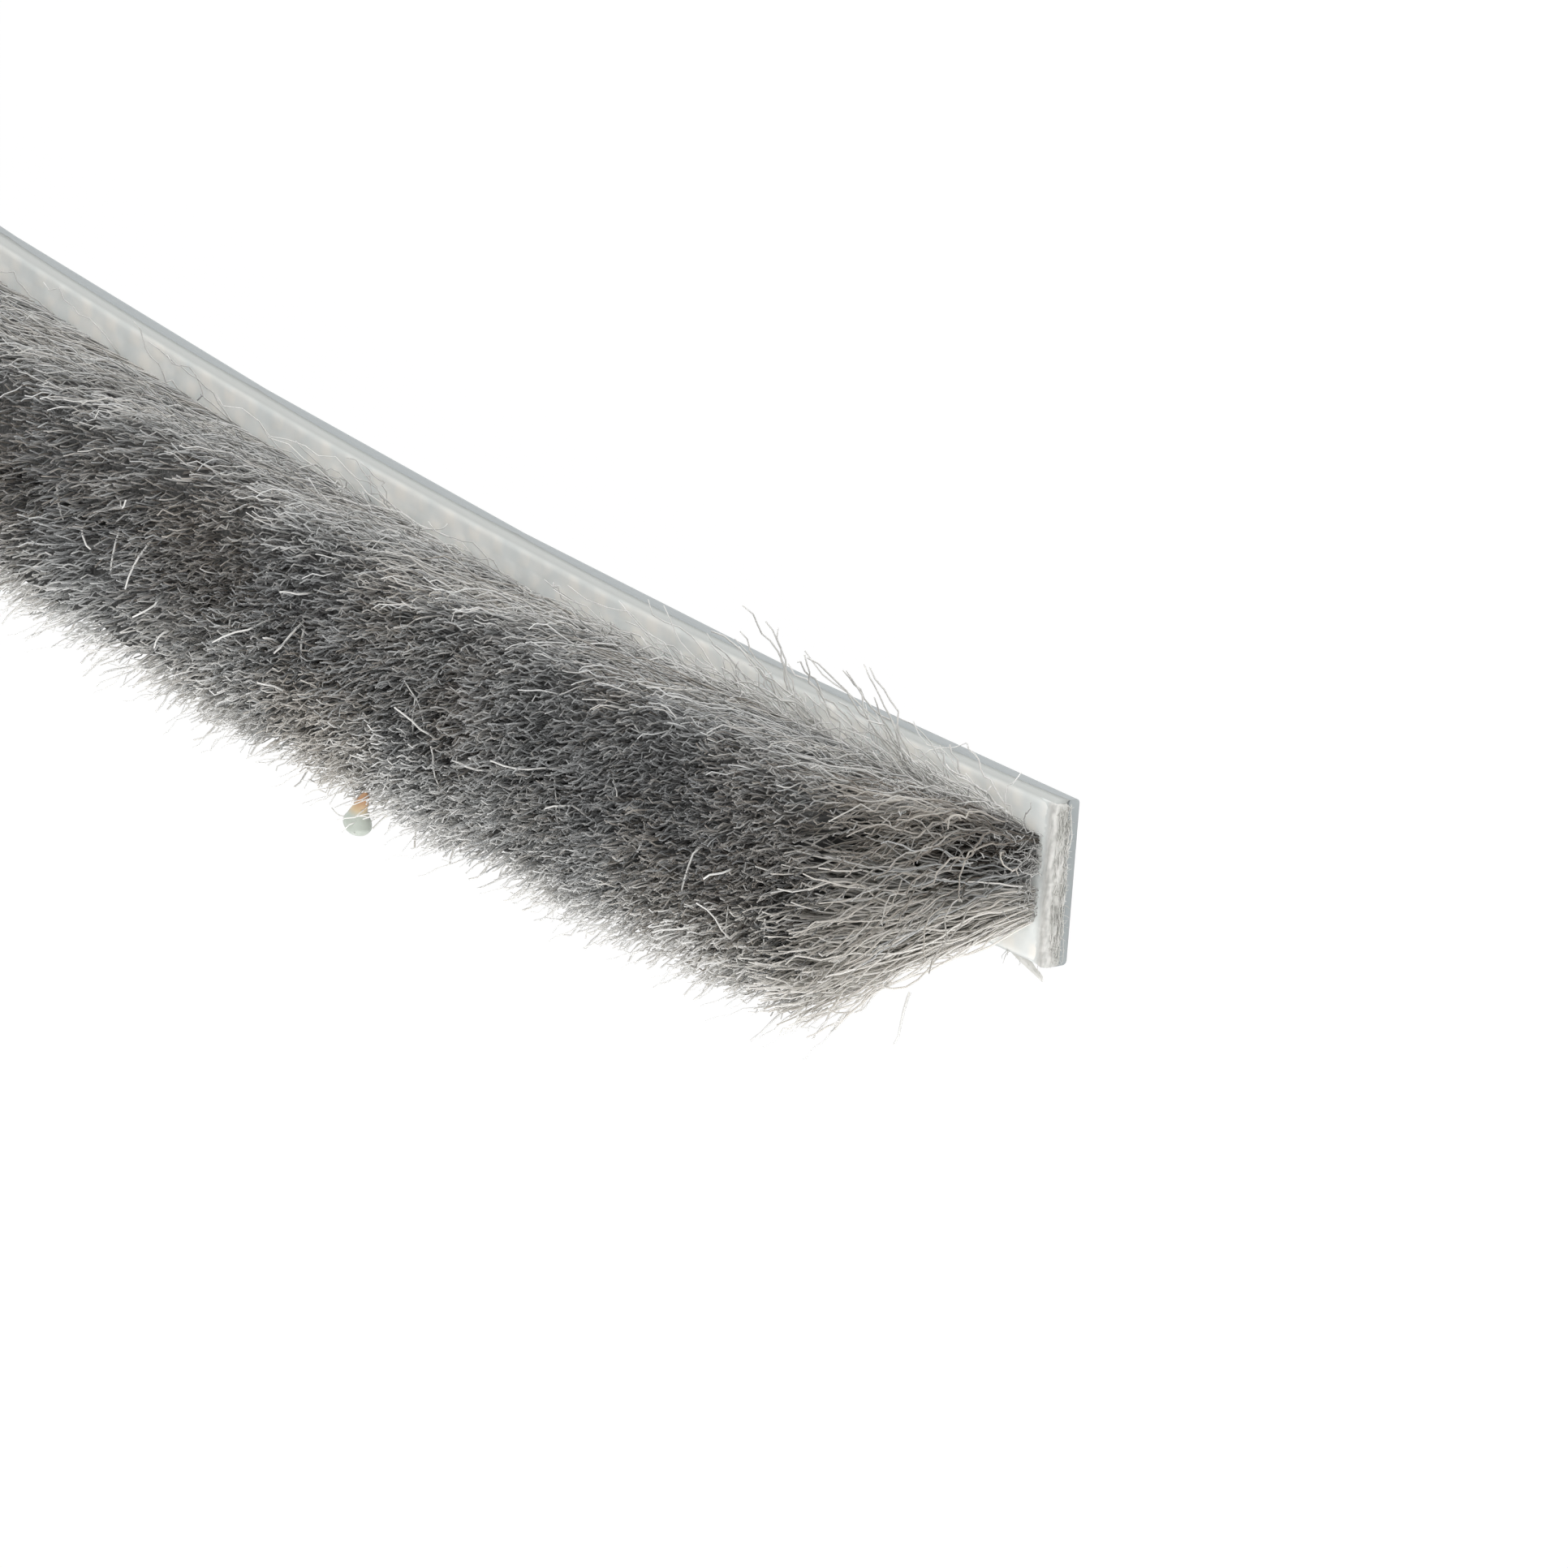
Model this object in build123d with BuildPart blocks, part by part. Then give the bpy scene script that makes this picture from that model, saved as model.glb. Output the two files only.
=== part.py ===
"""Brush seal strip: a woven pile weatherstrip, lying on its back with the pile up.

A length of weatherstrip for the edge of a sliding door or window. A flat extruded
polypropylene strip carries a woven ground tape. Two rows of grey yarn stand up from
the tape, parted at the root and fanning out to the tips, which gather in tufts.

Frame: +X runs along the strip to its bowed end, +Y across it, +Z up through the pile.
The origin is on the underside of the strip, half way along it. Units are millimetres.
"""

import os
from math import degrees

from build123d import *

# Length as sold, and the slight sideways bow that a flexible strip takes near one end
strip_length = 1000.0
bow_length = 90.0
bow_radius = 580.0

# Extruded backing strip
backing_width = 6.9
backing_thickness = 0.7
backing_edge_radius = 0.2

# Woven ground tape, bonded to the backing
tape_width = 6.7
tape_thickness = 0.5
tape_edge_radius = 0.15

# Pile: two rows of yarn, parted at the root and along the middle
pile_root_width = 3.7
pile_root_gap = 0.6
pile_parting = 0.1
pile_parting_height = 2.6
pile_length = 10.8
pile_splay = 16.0
pile_belly = 0.35

# The tips of each row gather in tufts, with a V notch between one tuft and the next
tuft_pitch = 6.0
notch_width = 1.5
notch_depth = 0.8

bow_angle = degrees(bow_length / bow_radius)
straight_length = strip_length - bow_length
pile_bottom = backing_thickness + tape_thickness

# Centre line of the underside: straight, then bowed towards +Y at the +X end
with BuildLine() as centre_line:
    straight = Line((-strip_length / 2, 0), (straight_length - strip_length / 2, 0))
    JernArc(straight @ 1, straight % 1, bow_radius, bow_angle)
strip_path = centre_line.wire()

# The section's own x runs across the strip and its y up through the pile
section_plane = Plane(origin=straight @ 0, x_dir=(0, 1, 0), z_dir=straight % 0)

with BuildPart() as backing_strip:
    with BuildSketch(section_plane):
        with Locations((0, backing_thickness / 2)):
            RectangleRounded(backing_width, backing_thickness, backing_edge_radius)
    sweep(path=strip_path)

with BuildPart() as ground_tape:
    with BuildSketch(section_plane):
        with Locations((0, backing_thickness + tape_thickness / 2)):
            RectangleRounded(tape_width, tape_thickness, tape_edge_radius)
    sweep(path=strip_path)


def yarn_end(foot: float, lean: float) -> Vector:
    """Tip of a yarn that stands at foot across the strip and leans out by lean degrees."""
    return Vector(foot, pile_bottom) + Vector(0, pile_length).rotate(Axis.Z, -lean)


# One row's section, at +Y. The yarns have one length, so their tips lie on an arc. The
# outer flank leans out by the splay, with a slight belly. The inner flank leans in over
# the root gap and then runs up beside the other row.
flank_foot = Vector(pile_root_width / 2, pile_bottom)
flank_tip = yarn_end(pile_root_width / 2, pile_splay)
flank_middle = (flank_foot + flank_tip) / 2 + Vector(pile_belly, 0)
crown_middle = yarn_end(pile_root_width / 4, pile_splay / 2)
crown_top = yarn_end(pile_parting / 2, 0)
crown_slope = flank_tip - crown_top


def notch_plane(distance: float, side: int) -> Plane:
    """Plane that a notch starts on, inside the parting: its y points up out of the crown
    and its z down the crown's slope. distance is measured along the centre line, and side
    is 1 for the row at +Y, -1 for the row at -Y.
    """
    along = strip_path.tangent_at(distance, PositionMode.LENGTH)
    across = Vector(0, 0, 1).cross(along) * side
    foot = strip_path.position_at(distance, PositionMode.LENGTH)
    crown = foot + across * crown_middle.X + Vector(0, 0, crown_middle.Y)
    down_slope = across * crown_slope.X + Vector(0, 0, crown_slope.Y)
    middle = Plane(origin=crown, x_dir=along * -side, z_dir=down_slope)
    return middle.offset(-crown_slope.length)


# The rows are woven half a pitch apart, so their notches are staggered
tuft_count = round(strip_length / tuft_pitch)
pile_rows = {}
for row_name, side, stagger in (("pile_row_left", 1, 0.5), ("pile_row_right", -1, 0)):
    notch_places = [(n + stagger) * tuft_pitch for n in range(1, tuft_count)]
    notch_planes = [
        notch_plane(place, side)
        for place in notch_places
        if place + notch_width < strip_length
    ]
    with BuildPart() as pile_row:
        with BuildSketch(section_plane):
            with BuildLine():
                ThreePointArc(flank_foot, flank_middle, flank_tip)
                ThreePointArc(flank_tip, crown_middle, crown_top)
                Polyline(
                    crown_top,
                    (pile_parting / 2, pile_bottom + pile_parting_height),
                    (pile_root_gap / 2, pile_bottom),
                    flank_foot,
                )
            make_face()
            if side < 0:
                mirror(about=Plane.YZ, mode=Mode.REPLACE)
        sweep(path=strip_path)
        with BuildSketch(*notch_planes):
            with BuildLine():
                Polyline(
                    (0, -notch_depth),
                    (notch_width, notch_depth),
                    (-notch_width, notch_depth),
                    close=True,
                )
            make_face()
        extrude(amount=2 * crown_slope.length, mode=Mode.SUBTRACT)
    pile_rows[row_name] = pile_row.part

backing_strip.part.label = "backing_strip"
ground_tape.part.label = "ground_tape"
os.makedirs("parts", exist_ok=True)
export_step(backing_strip.part, "parts/backing_strip.step")
export_step(ground_tape.part, "parts/ground_tape.step")
for row_name, row_part in pile_rows.items():
    row_part.label = row_name
    export_step(row_part, f"parts/{row_name}.step")

for part in (backing_strip.part, ground_tape.part, *pile_rows.values()):
    print(part.label, round(part.volume, 1), part.bounding_box().size)
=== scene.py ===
"""Looks of a pile weatherstrip: its yarn, woven tape, plastic backing, studio and camera.

Everything is in metres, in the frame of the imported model: +X runs along the strip to its
cut, bowed end, +Y across it and +Z up through the pile. Reach is the distance back from
that cut end along the strip's centre line.
"""

import logging
import math
import random
from dataclasses import dataclass, field, fields
from enum import Enum
from typing import Any, NamedTuple, Sequence

import bmesh
import bpy
from mathutils import Matrix, Vector, noise


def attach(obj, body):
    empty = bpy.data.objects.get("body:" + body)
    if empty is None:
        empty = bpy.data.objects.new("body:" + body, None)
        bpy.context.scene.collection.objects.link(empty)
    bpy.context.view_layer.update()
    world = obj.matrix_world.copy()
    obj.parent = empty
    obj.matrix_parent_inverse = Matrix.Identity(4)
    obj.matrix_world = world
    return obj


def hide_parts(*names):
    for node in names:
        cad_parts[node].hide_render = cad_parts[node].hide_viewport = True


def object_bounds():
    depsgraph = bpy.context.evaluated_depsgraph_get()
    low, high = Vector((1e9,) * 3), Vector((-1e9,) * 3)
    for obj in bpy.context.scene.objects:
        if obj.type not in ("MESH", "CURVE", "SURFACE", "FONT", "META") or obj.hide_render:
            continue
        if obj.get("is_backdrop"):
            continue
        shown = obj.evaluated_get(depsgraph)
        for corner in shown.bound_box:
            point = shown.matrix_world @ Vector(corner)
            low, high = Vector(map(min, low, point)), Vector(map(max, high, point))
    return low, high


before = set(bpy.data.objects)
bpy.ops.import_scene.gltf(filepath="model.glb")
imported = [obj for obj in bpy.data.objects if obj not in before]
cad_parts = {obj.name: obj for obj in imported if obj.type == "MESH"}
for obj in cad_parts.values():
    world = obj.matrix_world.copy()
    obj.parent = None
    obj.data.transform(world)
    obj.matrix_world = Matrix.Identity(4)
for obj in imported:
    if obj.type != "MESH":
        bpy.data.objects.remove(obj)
cad_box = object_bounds()

MM = 0.001
BODY = "root"
FIBRE_MAP = "OFBake"
LOG = logging.getLogger("weatherstrip")


class Slot(Enum):
    """Names of the material slots of the finishes."""

    BACKING = "backing_plastic"
    TAPE = "woven_tape"
    YARN = "pile_yarn"


class Solid(Enum):
    """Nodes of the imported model."""

    BACKING = "backing_strip"
    TAPE = "ground_tape"
    LEFT_ROW = "pile_row_left"
    RIGHT_ROW = "pile_row_right"


class Number:
    """A number in a node graph. Arithmetic on it adds Math nodes to the graph."""

    def __init__(self, graph: "Graph", socket: bpy.types.NodeSocket) -> None:
        """Keeps the graph and the output socket that gives the number."""
        self.graph = graph
        self.socket = socket

    def __add__(self, other: Any) -> "Number":
        """Sum of two numbers."""
        return self.graph.math("ADD", self, other)

    def __sub__(self, other: Any) -> "Number":
        """This number less another."""
        return self.graph.math("SUBTRACT", self, other)

    def __rsub__(self, other: Any) -> "Number":
        """Another number less this one."""
        return self.graph.math("SUBTRACT", other, self)

    def __mul__(self, other: Any) -> "Number":
        """Product of two numbers."""
        return self.graph.math("MULTIPLY", self, other)

    def __truediv__(self, other: Any) -> "Number":
        """This number divided by another."""
        return self.graph.math("DIVIDE", self, other)

    def __rtruediv__(self, other: Any) -> "Number":
        """Another number divided by this one."""
        return self.graph.math("DIVIDE", other, self)

    def __abs__(self) -> "Number":
        """This number without its sign."""
        return self.graph.math("ABSOLUTE", self)

    __radd__ = __add__
    __rmul__ = __mul__


class Graph:
    """A node tree with short ways to add nodes, join them and do arithmetic."""

    def __init__(self, tree: bpy.types.NodeTree) -> None:
        """Keeps the node tree that the nodes go into."""
        self.tree = tree

    def feed(self, socket: bpy.types.NodeSocket, value: Any) -> None:
        """Sets a socket's value, or links it where the value is itself a socket.

        Args:
            socket: the input socket.
            value: a Number, an output socket, or a plain value.
        """
        source = value.socket if isinstance(value, Number) else value
        if isinstance(source, bpy.types.NodeSocket):
            self.tree.links.new(source, socket)
        else:
            socket.default_value = source

    def node(self, kind: str, inputs: dict | None = None, **settings: Any) -> bpy.types.Node:
        """Adds a node.

        Args:
            kind: the node's type name.
            inputs: values by socket name, or by place for sockets that share a name.
            settings: the node's own settings, which are made before its sockets are fed.

        Returns:
            The new node.
        """
        node = self.tree.nodes.new(kind)
        for name, value in settings.items():
            setattr(node, name, value)
        for key, value in (inputs or {}).items():
            self.feed(self.find(node.inputs, key), value)
        return node

    def find(self, sockets: Any, key: str | int) -> bpy.types.NodeSocket:
        """The enabled socket of that name, or the socket at that place."""
        named = (s for s in sockets if s.name == key and s.enabled)
        return sockets[key] if isinstance(key, int) else next(named)

    def out(self, node: bpy.types.Node, key: str | int = 0) -> Number:
        """A node's output as a Number."""
        return Number(self, self.find(node.outputs, key))

    def add(self, kind: str, inputs: dict | None = None, key: str | int = 0, **settings: Any) -> Number:
        """Adds a node and gives its first output, or the one that key names."""
        return self.out(self.node(kind, inputs, **settings), key)

    def math(self, operation: str, *values: Any) -> Number:
        """Adds a Math node and returns its result."""
        return self.add("ShaderNodeMath", dict(enumerate(values)), operation=operation)

    def vector(self, x: Any, y: Any, z: Any) -> Number:
        """A vector made of three numbers."""
        return self.add("ShaderNodeCombineXYZ", {0: x, 1: y, 2: z})

    def split(self, vector: Any) -> tuple[Number, Number, Number]:
        """The three numbers of a vector."""
        node = self.node("ShaderNodeSeparateXYZ", {0: vector})
        return self.out(node, 0), self.out(node, 1), self.out(node, 2)

    def smooth(self, value: Any, low: float, high: float) -> Number:
        """A number that climbs smoothly from 0 to 1 as value goes from low to high."""
        inputs = {"Value": value, "From Min": low, "From Max": high}
        return self.add("ShaderNodeMapRange", inputs, "Result", interpolation_type="SMOOTHSTEP")

    def noise(self, vector: Any, scale: float, detail: float = 2.0) -> Number:
        """Noise from 0 to 1 on a vector."""
        return self.add("ShaderNodeTexNoise", {"Vector": vector, "Scale": scale, "Detail": detail})

    def place(self) -> Number:
        """A point's place on its object, which is its place in the model's frame."""
        return self.add("ShaderNodeTexCoord", key="Object")

    def fibre_map(self) -> tuple[Number, Number, Number]:
        """A point's U and V on the fibre map, and 0."""
        return self.split(self.add("ShaderNodeUVMap", uv_map=FIBRE_MAP))

    def bump(self, height: Any, strength: float, depth: float) -> Number:
        """The normal of a surface that a height of 1 lifts by depth."""
        return self.add("ShaderNodeBump", {"Strength": strength, "Distance": depth, "Height": height})

    def ramp(self, value: Any, stops: Sequence[tuple[float, tuple]]) -> Number:
        """A colour ramp.

        Args:
            value: the number to look up.
            stops: each stop's place from 0 to 1 and its colour, as sRGB from 0 to 1.

        Returns:
            The colour.
        """
        node = self.node("ShaderNodeValToRGB", {0: value})
        bar = node.color_ramp.elements
        for _ in range(len(stops) - 2):
            bar.new(0.5)
        for stop, (place, _) in zip(bar, stops):
            stop.position = place
        for stop, (_, colour) in zip(bar, stops):
            stop.color = linear(colour)
        return self.out(node, "Color")

    def blend(self, share: Any, first: Any, second: Any) -> Number:
        """Two colours mixed by share, from the first at 0 to the second at 1."""
        inputs = {"Factor": share, "A": first, "B": second}
        return self.add("ShaderNodeMix", inputs, "Result", data_type="RGBA")


def linear(colour: Sequence[float]) -> tuple[float, float, float, float]:
    """An sRGB colour as Blender's linear colour with an alpha of 1."""
    parts = [c / 12.92 if c <= 0.04045 else ((c + 0.055) / 1.055) ** 2.4 for c in colour]
    return (*parts, 1.0)


@dataclass(frozen=True)
class CentreLine:
    """The strip's centre line: straight, with a slight bow near the cut end."""

    length: float = 1000 * MM
    bow_length: float = 90 * MM
    bow_radius: float = 580 * MM

    def place(self, reach: float, across: float, height: float) -> Vector:
        """A point of the strip.

        Args:
            reach: distance back from the cut end.
            across: distance from the centre line, towards +Y.
            height: distance above the underside.

        Returns:
            The point in the model's frame.
        """
        turn = max(0.0, self.bow_length - reach) / self.bow_radius
        back = max(0.0, reach - self.bow_length)
        x = self.length / 2 - self.bow_length - back
        x += (self.bow_radius - across) * math.sin(turn)
        y = self.bow_radius - (self.bow_radius - across) * math.cos(turn)
        return Vector((x, y, height))

    def place_nodes(self, graph: Graph, reach: Any, across: Any, height: Any) -> Number:
        """The same point, worked out by nodes.

        Args:
            graph: the graph that the nodes go into.
            reach: distance back from the cut end.
            across: distance from the centre line, towards +Y.
            height: distance above the underside.

        Returns:
            The point in the model's frame.
        """
        radius = self.bow_radius
        turn = graph.math("MAXIMUM", self.bow_length - reach, 0.0) / radius
        back = graph.math("MAXIMUM", reach - self.bow_length, 0.0)
        inside = radius - across
        x = self.length / 2 - self.bow_length - back + inside * graph.math("SINE", turn)
        y = radius - inside * graph.math("COSINE", turn)
        return graph.vector(x, y, height)

    def beyond_cut(self, graph: Graph, x: Any, y: Any) -> Number:
        """How far a point lies beyond the plane of the cut, worked out by nodes.

        Args:
            graph: not used.
            x: the point's X.
            y: the point's Y.

        Returns:
            The distance, which is below 0 inside the strip.
        """
        turn = self.bow_length / self.bow_radius
        corner = self.place(0.0, 0.0, 0.0)
        return (x - corner.x) * math.cos(turn) + (y - corner.y) * math.sin(turn)

    def off_centre(self, graph: Graph, x: Any, y: Any) -> Number:
        """How far a point lies off the centre line, worked out by nodes.

        Args:
            graph: the graph that the nodes go into.
            x: the point's X.
            y: the point's Y.

        Returns:
            The distance to either side.
        """
        bowed = graph.math("MAXIMUM", x - (self.length / 2 - self.bow_length), 0.0)
        inside = self.bow_radius - y
        return abs(self.bow_radius - graph.math("SQRT", bowed * bowed + inside * inside))


@dataclass(frozen=True)
class PileShape:
    """Section through the two rows of yarn. Root is from 0 at the parting to 1 outside."""

    base: float = 1.2 * MM
    root_width: float = 3.7 * MM
    root_gap: float = 0.6 * MM
    length: float = 10.8 * MM
    splay: float = math.radians(16.0)
    inner_lean: float = math.radians(1.3)
    belly: float = 0.35 * MM

    @property
    def crown_width(self) -> float:
        """Width across the tips of both rows."""
        return self.root_width + 2 * self.length * math.sin(self.splay)

    def foot(self, root: Any) -> Any:
        """Distance of a yarn's foot from the middle, for a number or a Number."""
        return root * ((self.root_width - self.root_gap) / 2) + self.root_gap / 2

    def lean(self, root: Any) -> Any:
        """Outward lean of a yarn, for a number or a Number."""
        return root * (self.splay + self.inner_lean) - self.inner_lean

    def bulge(self, root: Any, along: Any) -> Any:
        """How far a yarn bellies outwards at a share of its length."""
        return root * along * (1 - along) * (4 * self.belly)

    def point(self, root: float, along: float) -> tuple[float, float]:
        """A point on a yarn of the row at +Y.

        Args:
            root: which yarn, from 0 at the parting to 1 outside.
            along: share of the yarn's length.

        Returns:
            Its distances across from the middle and above the underside.
        """
        lean = self.lean(root)
        across = self.foot(root) + self.length * along * math.sin(lean)
        across += self.bulge(root, along)
        return across, self.base + self.length * along * math.cos(lean)


@dataclass(frozen=True)
class FibreMap:
    """Layout of the map that the yarn's colour is read from and baked on.

    U is a fibre's shade. V lies in a band, which is its warmth. Small steps along the
    fibre and round its section keep the corners of a face apart.
    """

    shades: float = 0.95
    bands: int = 4
    length: float = 0.2
    step: float = 0.01

    def spot(self, shade: Any, warmth: Any, along: Any, corner: Any) -> tuple[Any, Any]:
        """Place of one corner on the map, for numbers or Numbers.

        Args:
            shade: from 0, deep, to 1, pale.
            warmth: the number of the band, from 0, cool.
            along: share of the fibre's length.
            corner: number of the corner of the section.

        Returns:
            U and V.
        """
        u = shade * self.shades + corner * self.step + self.step
        v = along * self.length + abs(corner - 1) * self.step + 2 * self.step
        return u, v + warmth * (1 / self.bands)


LINE = CentreLine()
PILE = PileShape()
MAP = FibreMap()


class Surface:
    """A new material, its Principled shader and the graph that its nodes go into."""

    def __init__(self, name: str) -> None:
        """Makes the material.

        Args:
            name: the material's name.
        """
        self.material = bpy.data.materials.new(name)
        self.material.use_nodes = True
        self.graph = Graph(self.material.node_tree)
        nodes = self.material.node_tree.nodes
        self.shader = next(n for n in nodes if n.type == "BSDF_PRINCIPLED")

    def dressed(self, inputs: dict[str, Any]) -> bpy.types.Material:
        """Feeds the shader.

        Args:
            inputs: plain values and Numbers, by the names of the shader's inputs.

        Returns:
            The finished material.
        """
        for name, value in inputs.items():
            self.graph.feed(self.shader.inputs[name], value)
        return self.material


@dataclass(frozen=True)
class YarnFinish:
    """Crimped synthetic yarn: cool dark grey deep in the pile, warm light grey at its skin; the dark is
    painted shade and the light is painted light.
    """

    name: str = "grey_yarn"
    cool: tuple = ((0.14, 0.13, 0.12), (0.42, 0.426, 0.428), (0.66, 0.663, 0.658), (0.93, 0.925, 0.91))
    warm: tuple = ((0.16, 0.13, 0.10), (0.43, 0.405, 0.375), (0.68, 0.66, 0.63), (0.93, 0.915, 0.885))
    places: tuple = (0.0, 0.25, 0.6, 1.0)
    roughness: float = 0.6
    specular: float = 0.2
    through: float = 0.8
    depth: float = 0.15 * MM

    def material(self) -> bpy.types.Material:
        """Builds the material. Its map holds each fibre's shade and its band of warmth.

        Returns:
            The material.
        """
        surface = Surface(self.name)
        graph = surface.graph
        shade, band, _ = graph.fibre_map()
        cool = graph.ramp(shade, list(zip(self.places, self.cool)))
        warm = graph.ramp(shade, list(zip(self.places, self.warm)))
        share = graph.math("FLOOR", band * MAP.bands) / (MAP.bands - 1)
        inputs = {
            "Base Color": graph.blend(share, cool, warm),
            "Roughness": self.roughness,
            "Specular IOR Level": self.specular,
            "Subsurface Weight": self.through,
            "Subsurface Radius": (1.0, 1.0, 1.0),
            "Subsurface Scale": self.depth,
        }
        return surface.dressed(inputs)


@dataclass(frozen=True)
class DeepPileFinish:
    """The mass of yarn under the tips in painted shade, with a painted brown shadow darkest behind the cut
    end.

    Beyond the dense pile, it shows yarn itself, painted paler on the flanks than on the crown as painted
    light.
    """

    name: str = "deep_pile"
    dark: tuple = (0.24, 0.24, 0.24)
    light: tuple = (0.40, 0.40, 0.395)
    hollow: tuple = (0.13, 0.105, 0.085)
    hollow_reach: tuple = (5.5 * MM, 3.5 * MM)
    hollow_height: tuple = (7.5 * MM, 10.5 * MM)
    crown: tuple = ((0.22, 0.22, 0.22), (0.44, 0.44, 0.435), (0.70, 0.70, 0.69))
    flank: tuple = ((0.24, 0.24, 0.235), (0.52, 0.52, 0.51), (0.78, 0.775, 0.76))
    places: tuple = (0.34, 0.5, 0.68)
    crown_slope: tuple = (0.2, 0.8)
    far_reach: tuple = (84 * MM, 80 * MM)
    grain: float = 8.0 / MM
    grain_drawn: float = 0.15
    yarn: float = 3.2 / MM
    yarn_drawn: float = 0.08
    relief: float = 0.7
    relief_depth: float = 0.15 * MM
    roughness: float = 0.9
    specular: float = 0.1

    def material(self) -> bpy.types.Material:
        """Builds the material: grain and yarn, drawn out up the pile.

        Returns:
            The material.
        """
        surface = Surface(self.name)
        graph = surface.graph
        x, y, z = graph.split(graph.place())
        cut = LINE.length / 2
        # Painted shade: the grain runs between dark greys, for the deep yarn in shade under the tips
        grain = graph.noise(graph.vector(x, y, z * self.grain_drawn), self.grain, 3.0)
        colour = graph.ramp(grain, [(0.3, self.dark), (0.7, self.light)])
        # Painted shadow: near the cut end and low in the pile the colour turns to the dark brown of the
        # hollow
        near = graph.smooth(x, *(cut - reach for reach in self.hollow_reach))
        low = near * (1 - graph.smooth(z, *self.hollow_height))
        colour = graph.blend(low, colour, linear(self.hollow))
        yarn = graph.noise(graph.vector(x, y, z * self.yarn_drawn), self.yarn, 3.0)
        crown = graph.ramp(yarn, list(zip(self.places, self.crown)))
        flank = graph.ramp(yarn, list(zip(self.places, self.flank)))
        # Painted light: faces that turn sideways take the paler flank colours, faces turned up the crown
        # colours
        _, _, up = graph.split(graph.add("ShaderNodeNewGeometry", key="Normal"))
        skin = graph.blend(graph.smooth(up, *self.crown_slope), flank, crown)
        far = 1 - graph.smooth(x, *(cut - reach for reach in self.far_reach))
        inputs = {
            "Base Color": graph.blend(far, colour, skin),
            "Normal": graph.bump(yarn, self.relief, self.relief_depth),
            "Roughness": self.roughness,
            "Specular IOR Level": self.specular,
        }
        return surface.dressed(inputs)


@dataclass(frozen=True)
class BackingFinish:
    """Translucent polypropylene, painted a darker blue-grey where it is cut or seen edge on, as painted
    shade.
    """

    name: str = "backing_polypropylene"
    body: tuple = (0.70, 0.72, 0.715)
    streak: tuple = (0.75, 0.765, 0.755)
    cut: tuple = (0.61, 0.63, 0.635)
    half_width: float = 3.45 * MM
    side_depth: tuple = (0.14 * MM, 0.04 * MM)
    cut_depth: tuple = (0.12 * MM, 0.02 * MM)
    streaks: float = 2.2 / MM
    streaks_drawn: float = 0.06
    cloud: float = 0.5 / MM
    relief: float = 0.25
    relief_depth: float = 0.03 * MM
    roughness: float = 0.32

    def material(self) -> bpy.types.Material:
        """Builds the material: faint streaks along the extrusion and a fine waxy grain.

        Returns:
            The material.
        """
        surface = Surface(self.name)
        graph = surface.graph
        place = graph.place()
        x, y, z = graph.split(place)
        streaks = graph.noise(graph.vector(x * self.streaks_drawn, y, z), self.streaks, 3.0)
        cloud = graph.noise(place, self.cloud)
        share = graph.smooth(streaks * 0.7 + cloud * 0.3, 0.3, 0.7)
        body = graph.blend(share, linear(self.body), linear(self.streak))
        # Painted shade: the cut face and a band along each side edge turn to the darker cut colour
        cut = graph.smooth(LINE.beyond_cut(graph, x, y), *(-depth for depth in self.cut_depth))
        off = LINE.off_centre(graph, x, y)
        side = graph.smooth(off, *(self.half_width - depth for depth in self.side_depth))
        edge = graph.math("MAXIMUM", cut, side)
        inputs = {
            "Base Color": graph.blend(edge, body, linear(self.cut)),
            "Roughness": self.roughness + cloud * 0.15,
            "Normal": graph.bump(streaks, self.relief, self.relief_depth),
        }
        return surface.dressed(inputs)


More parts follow.
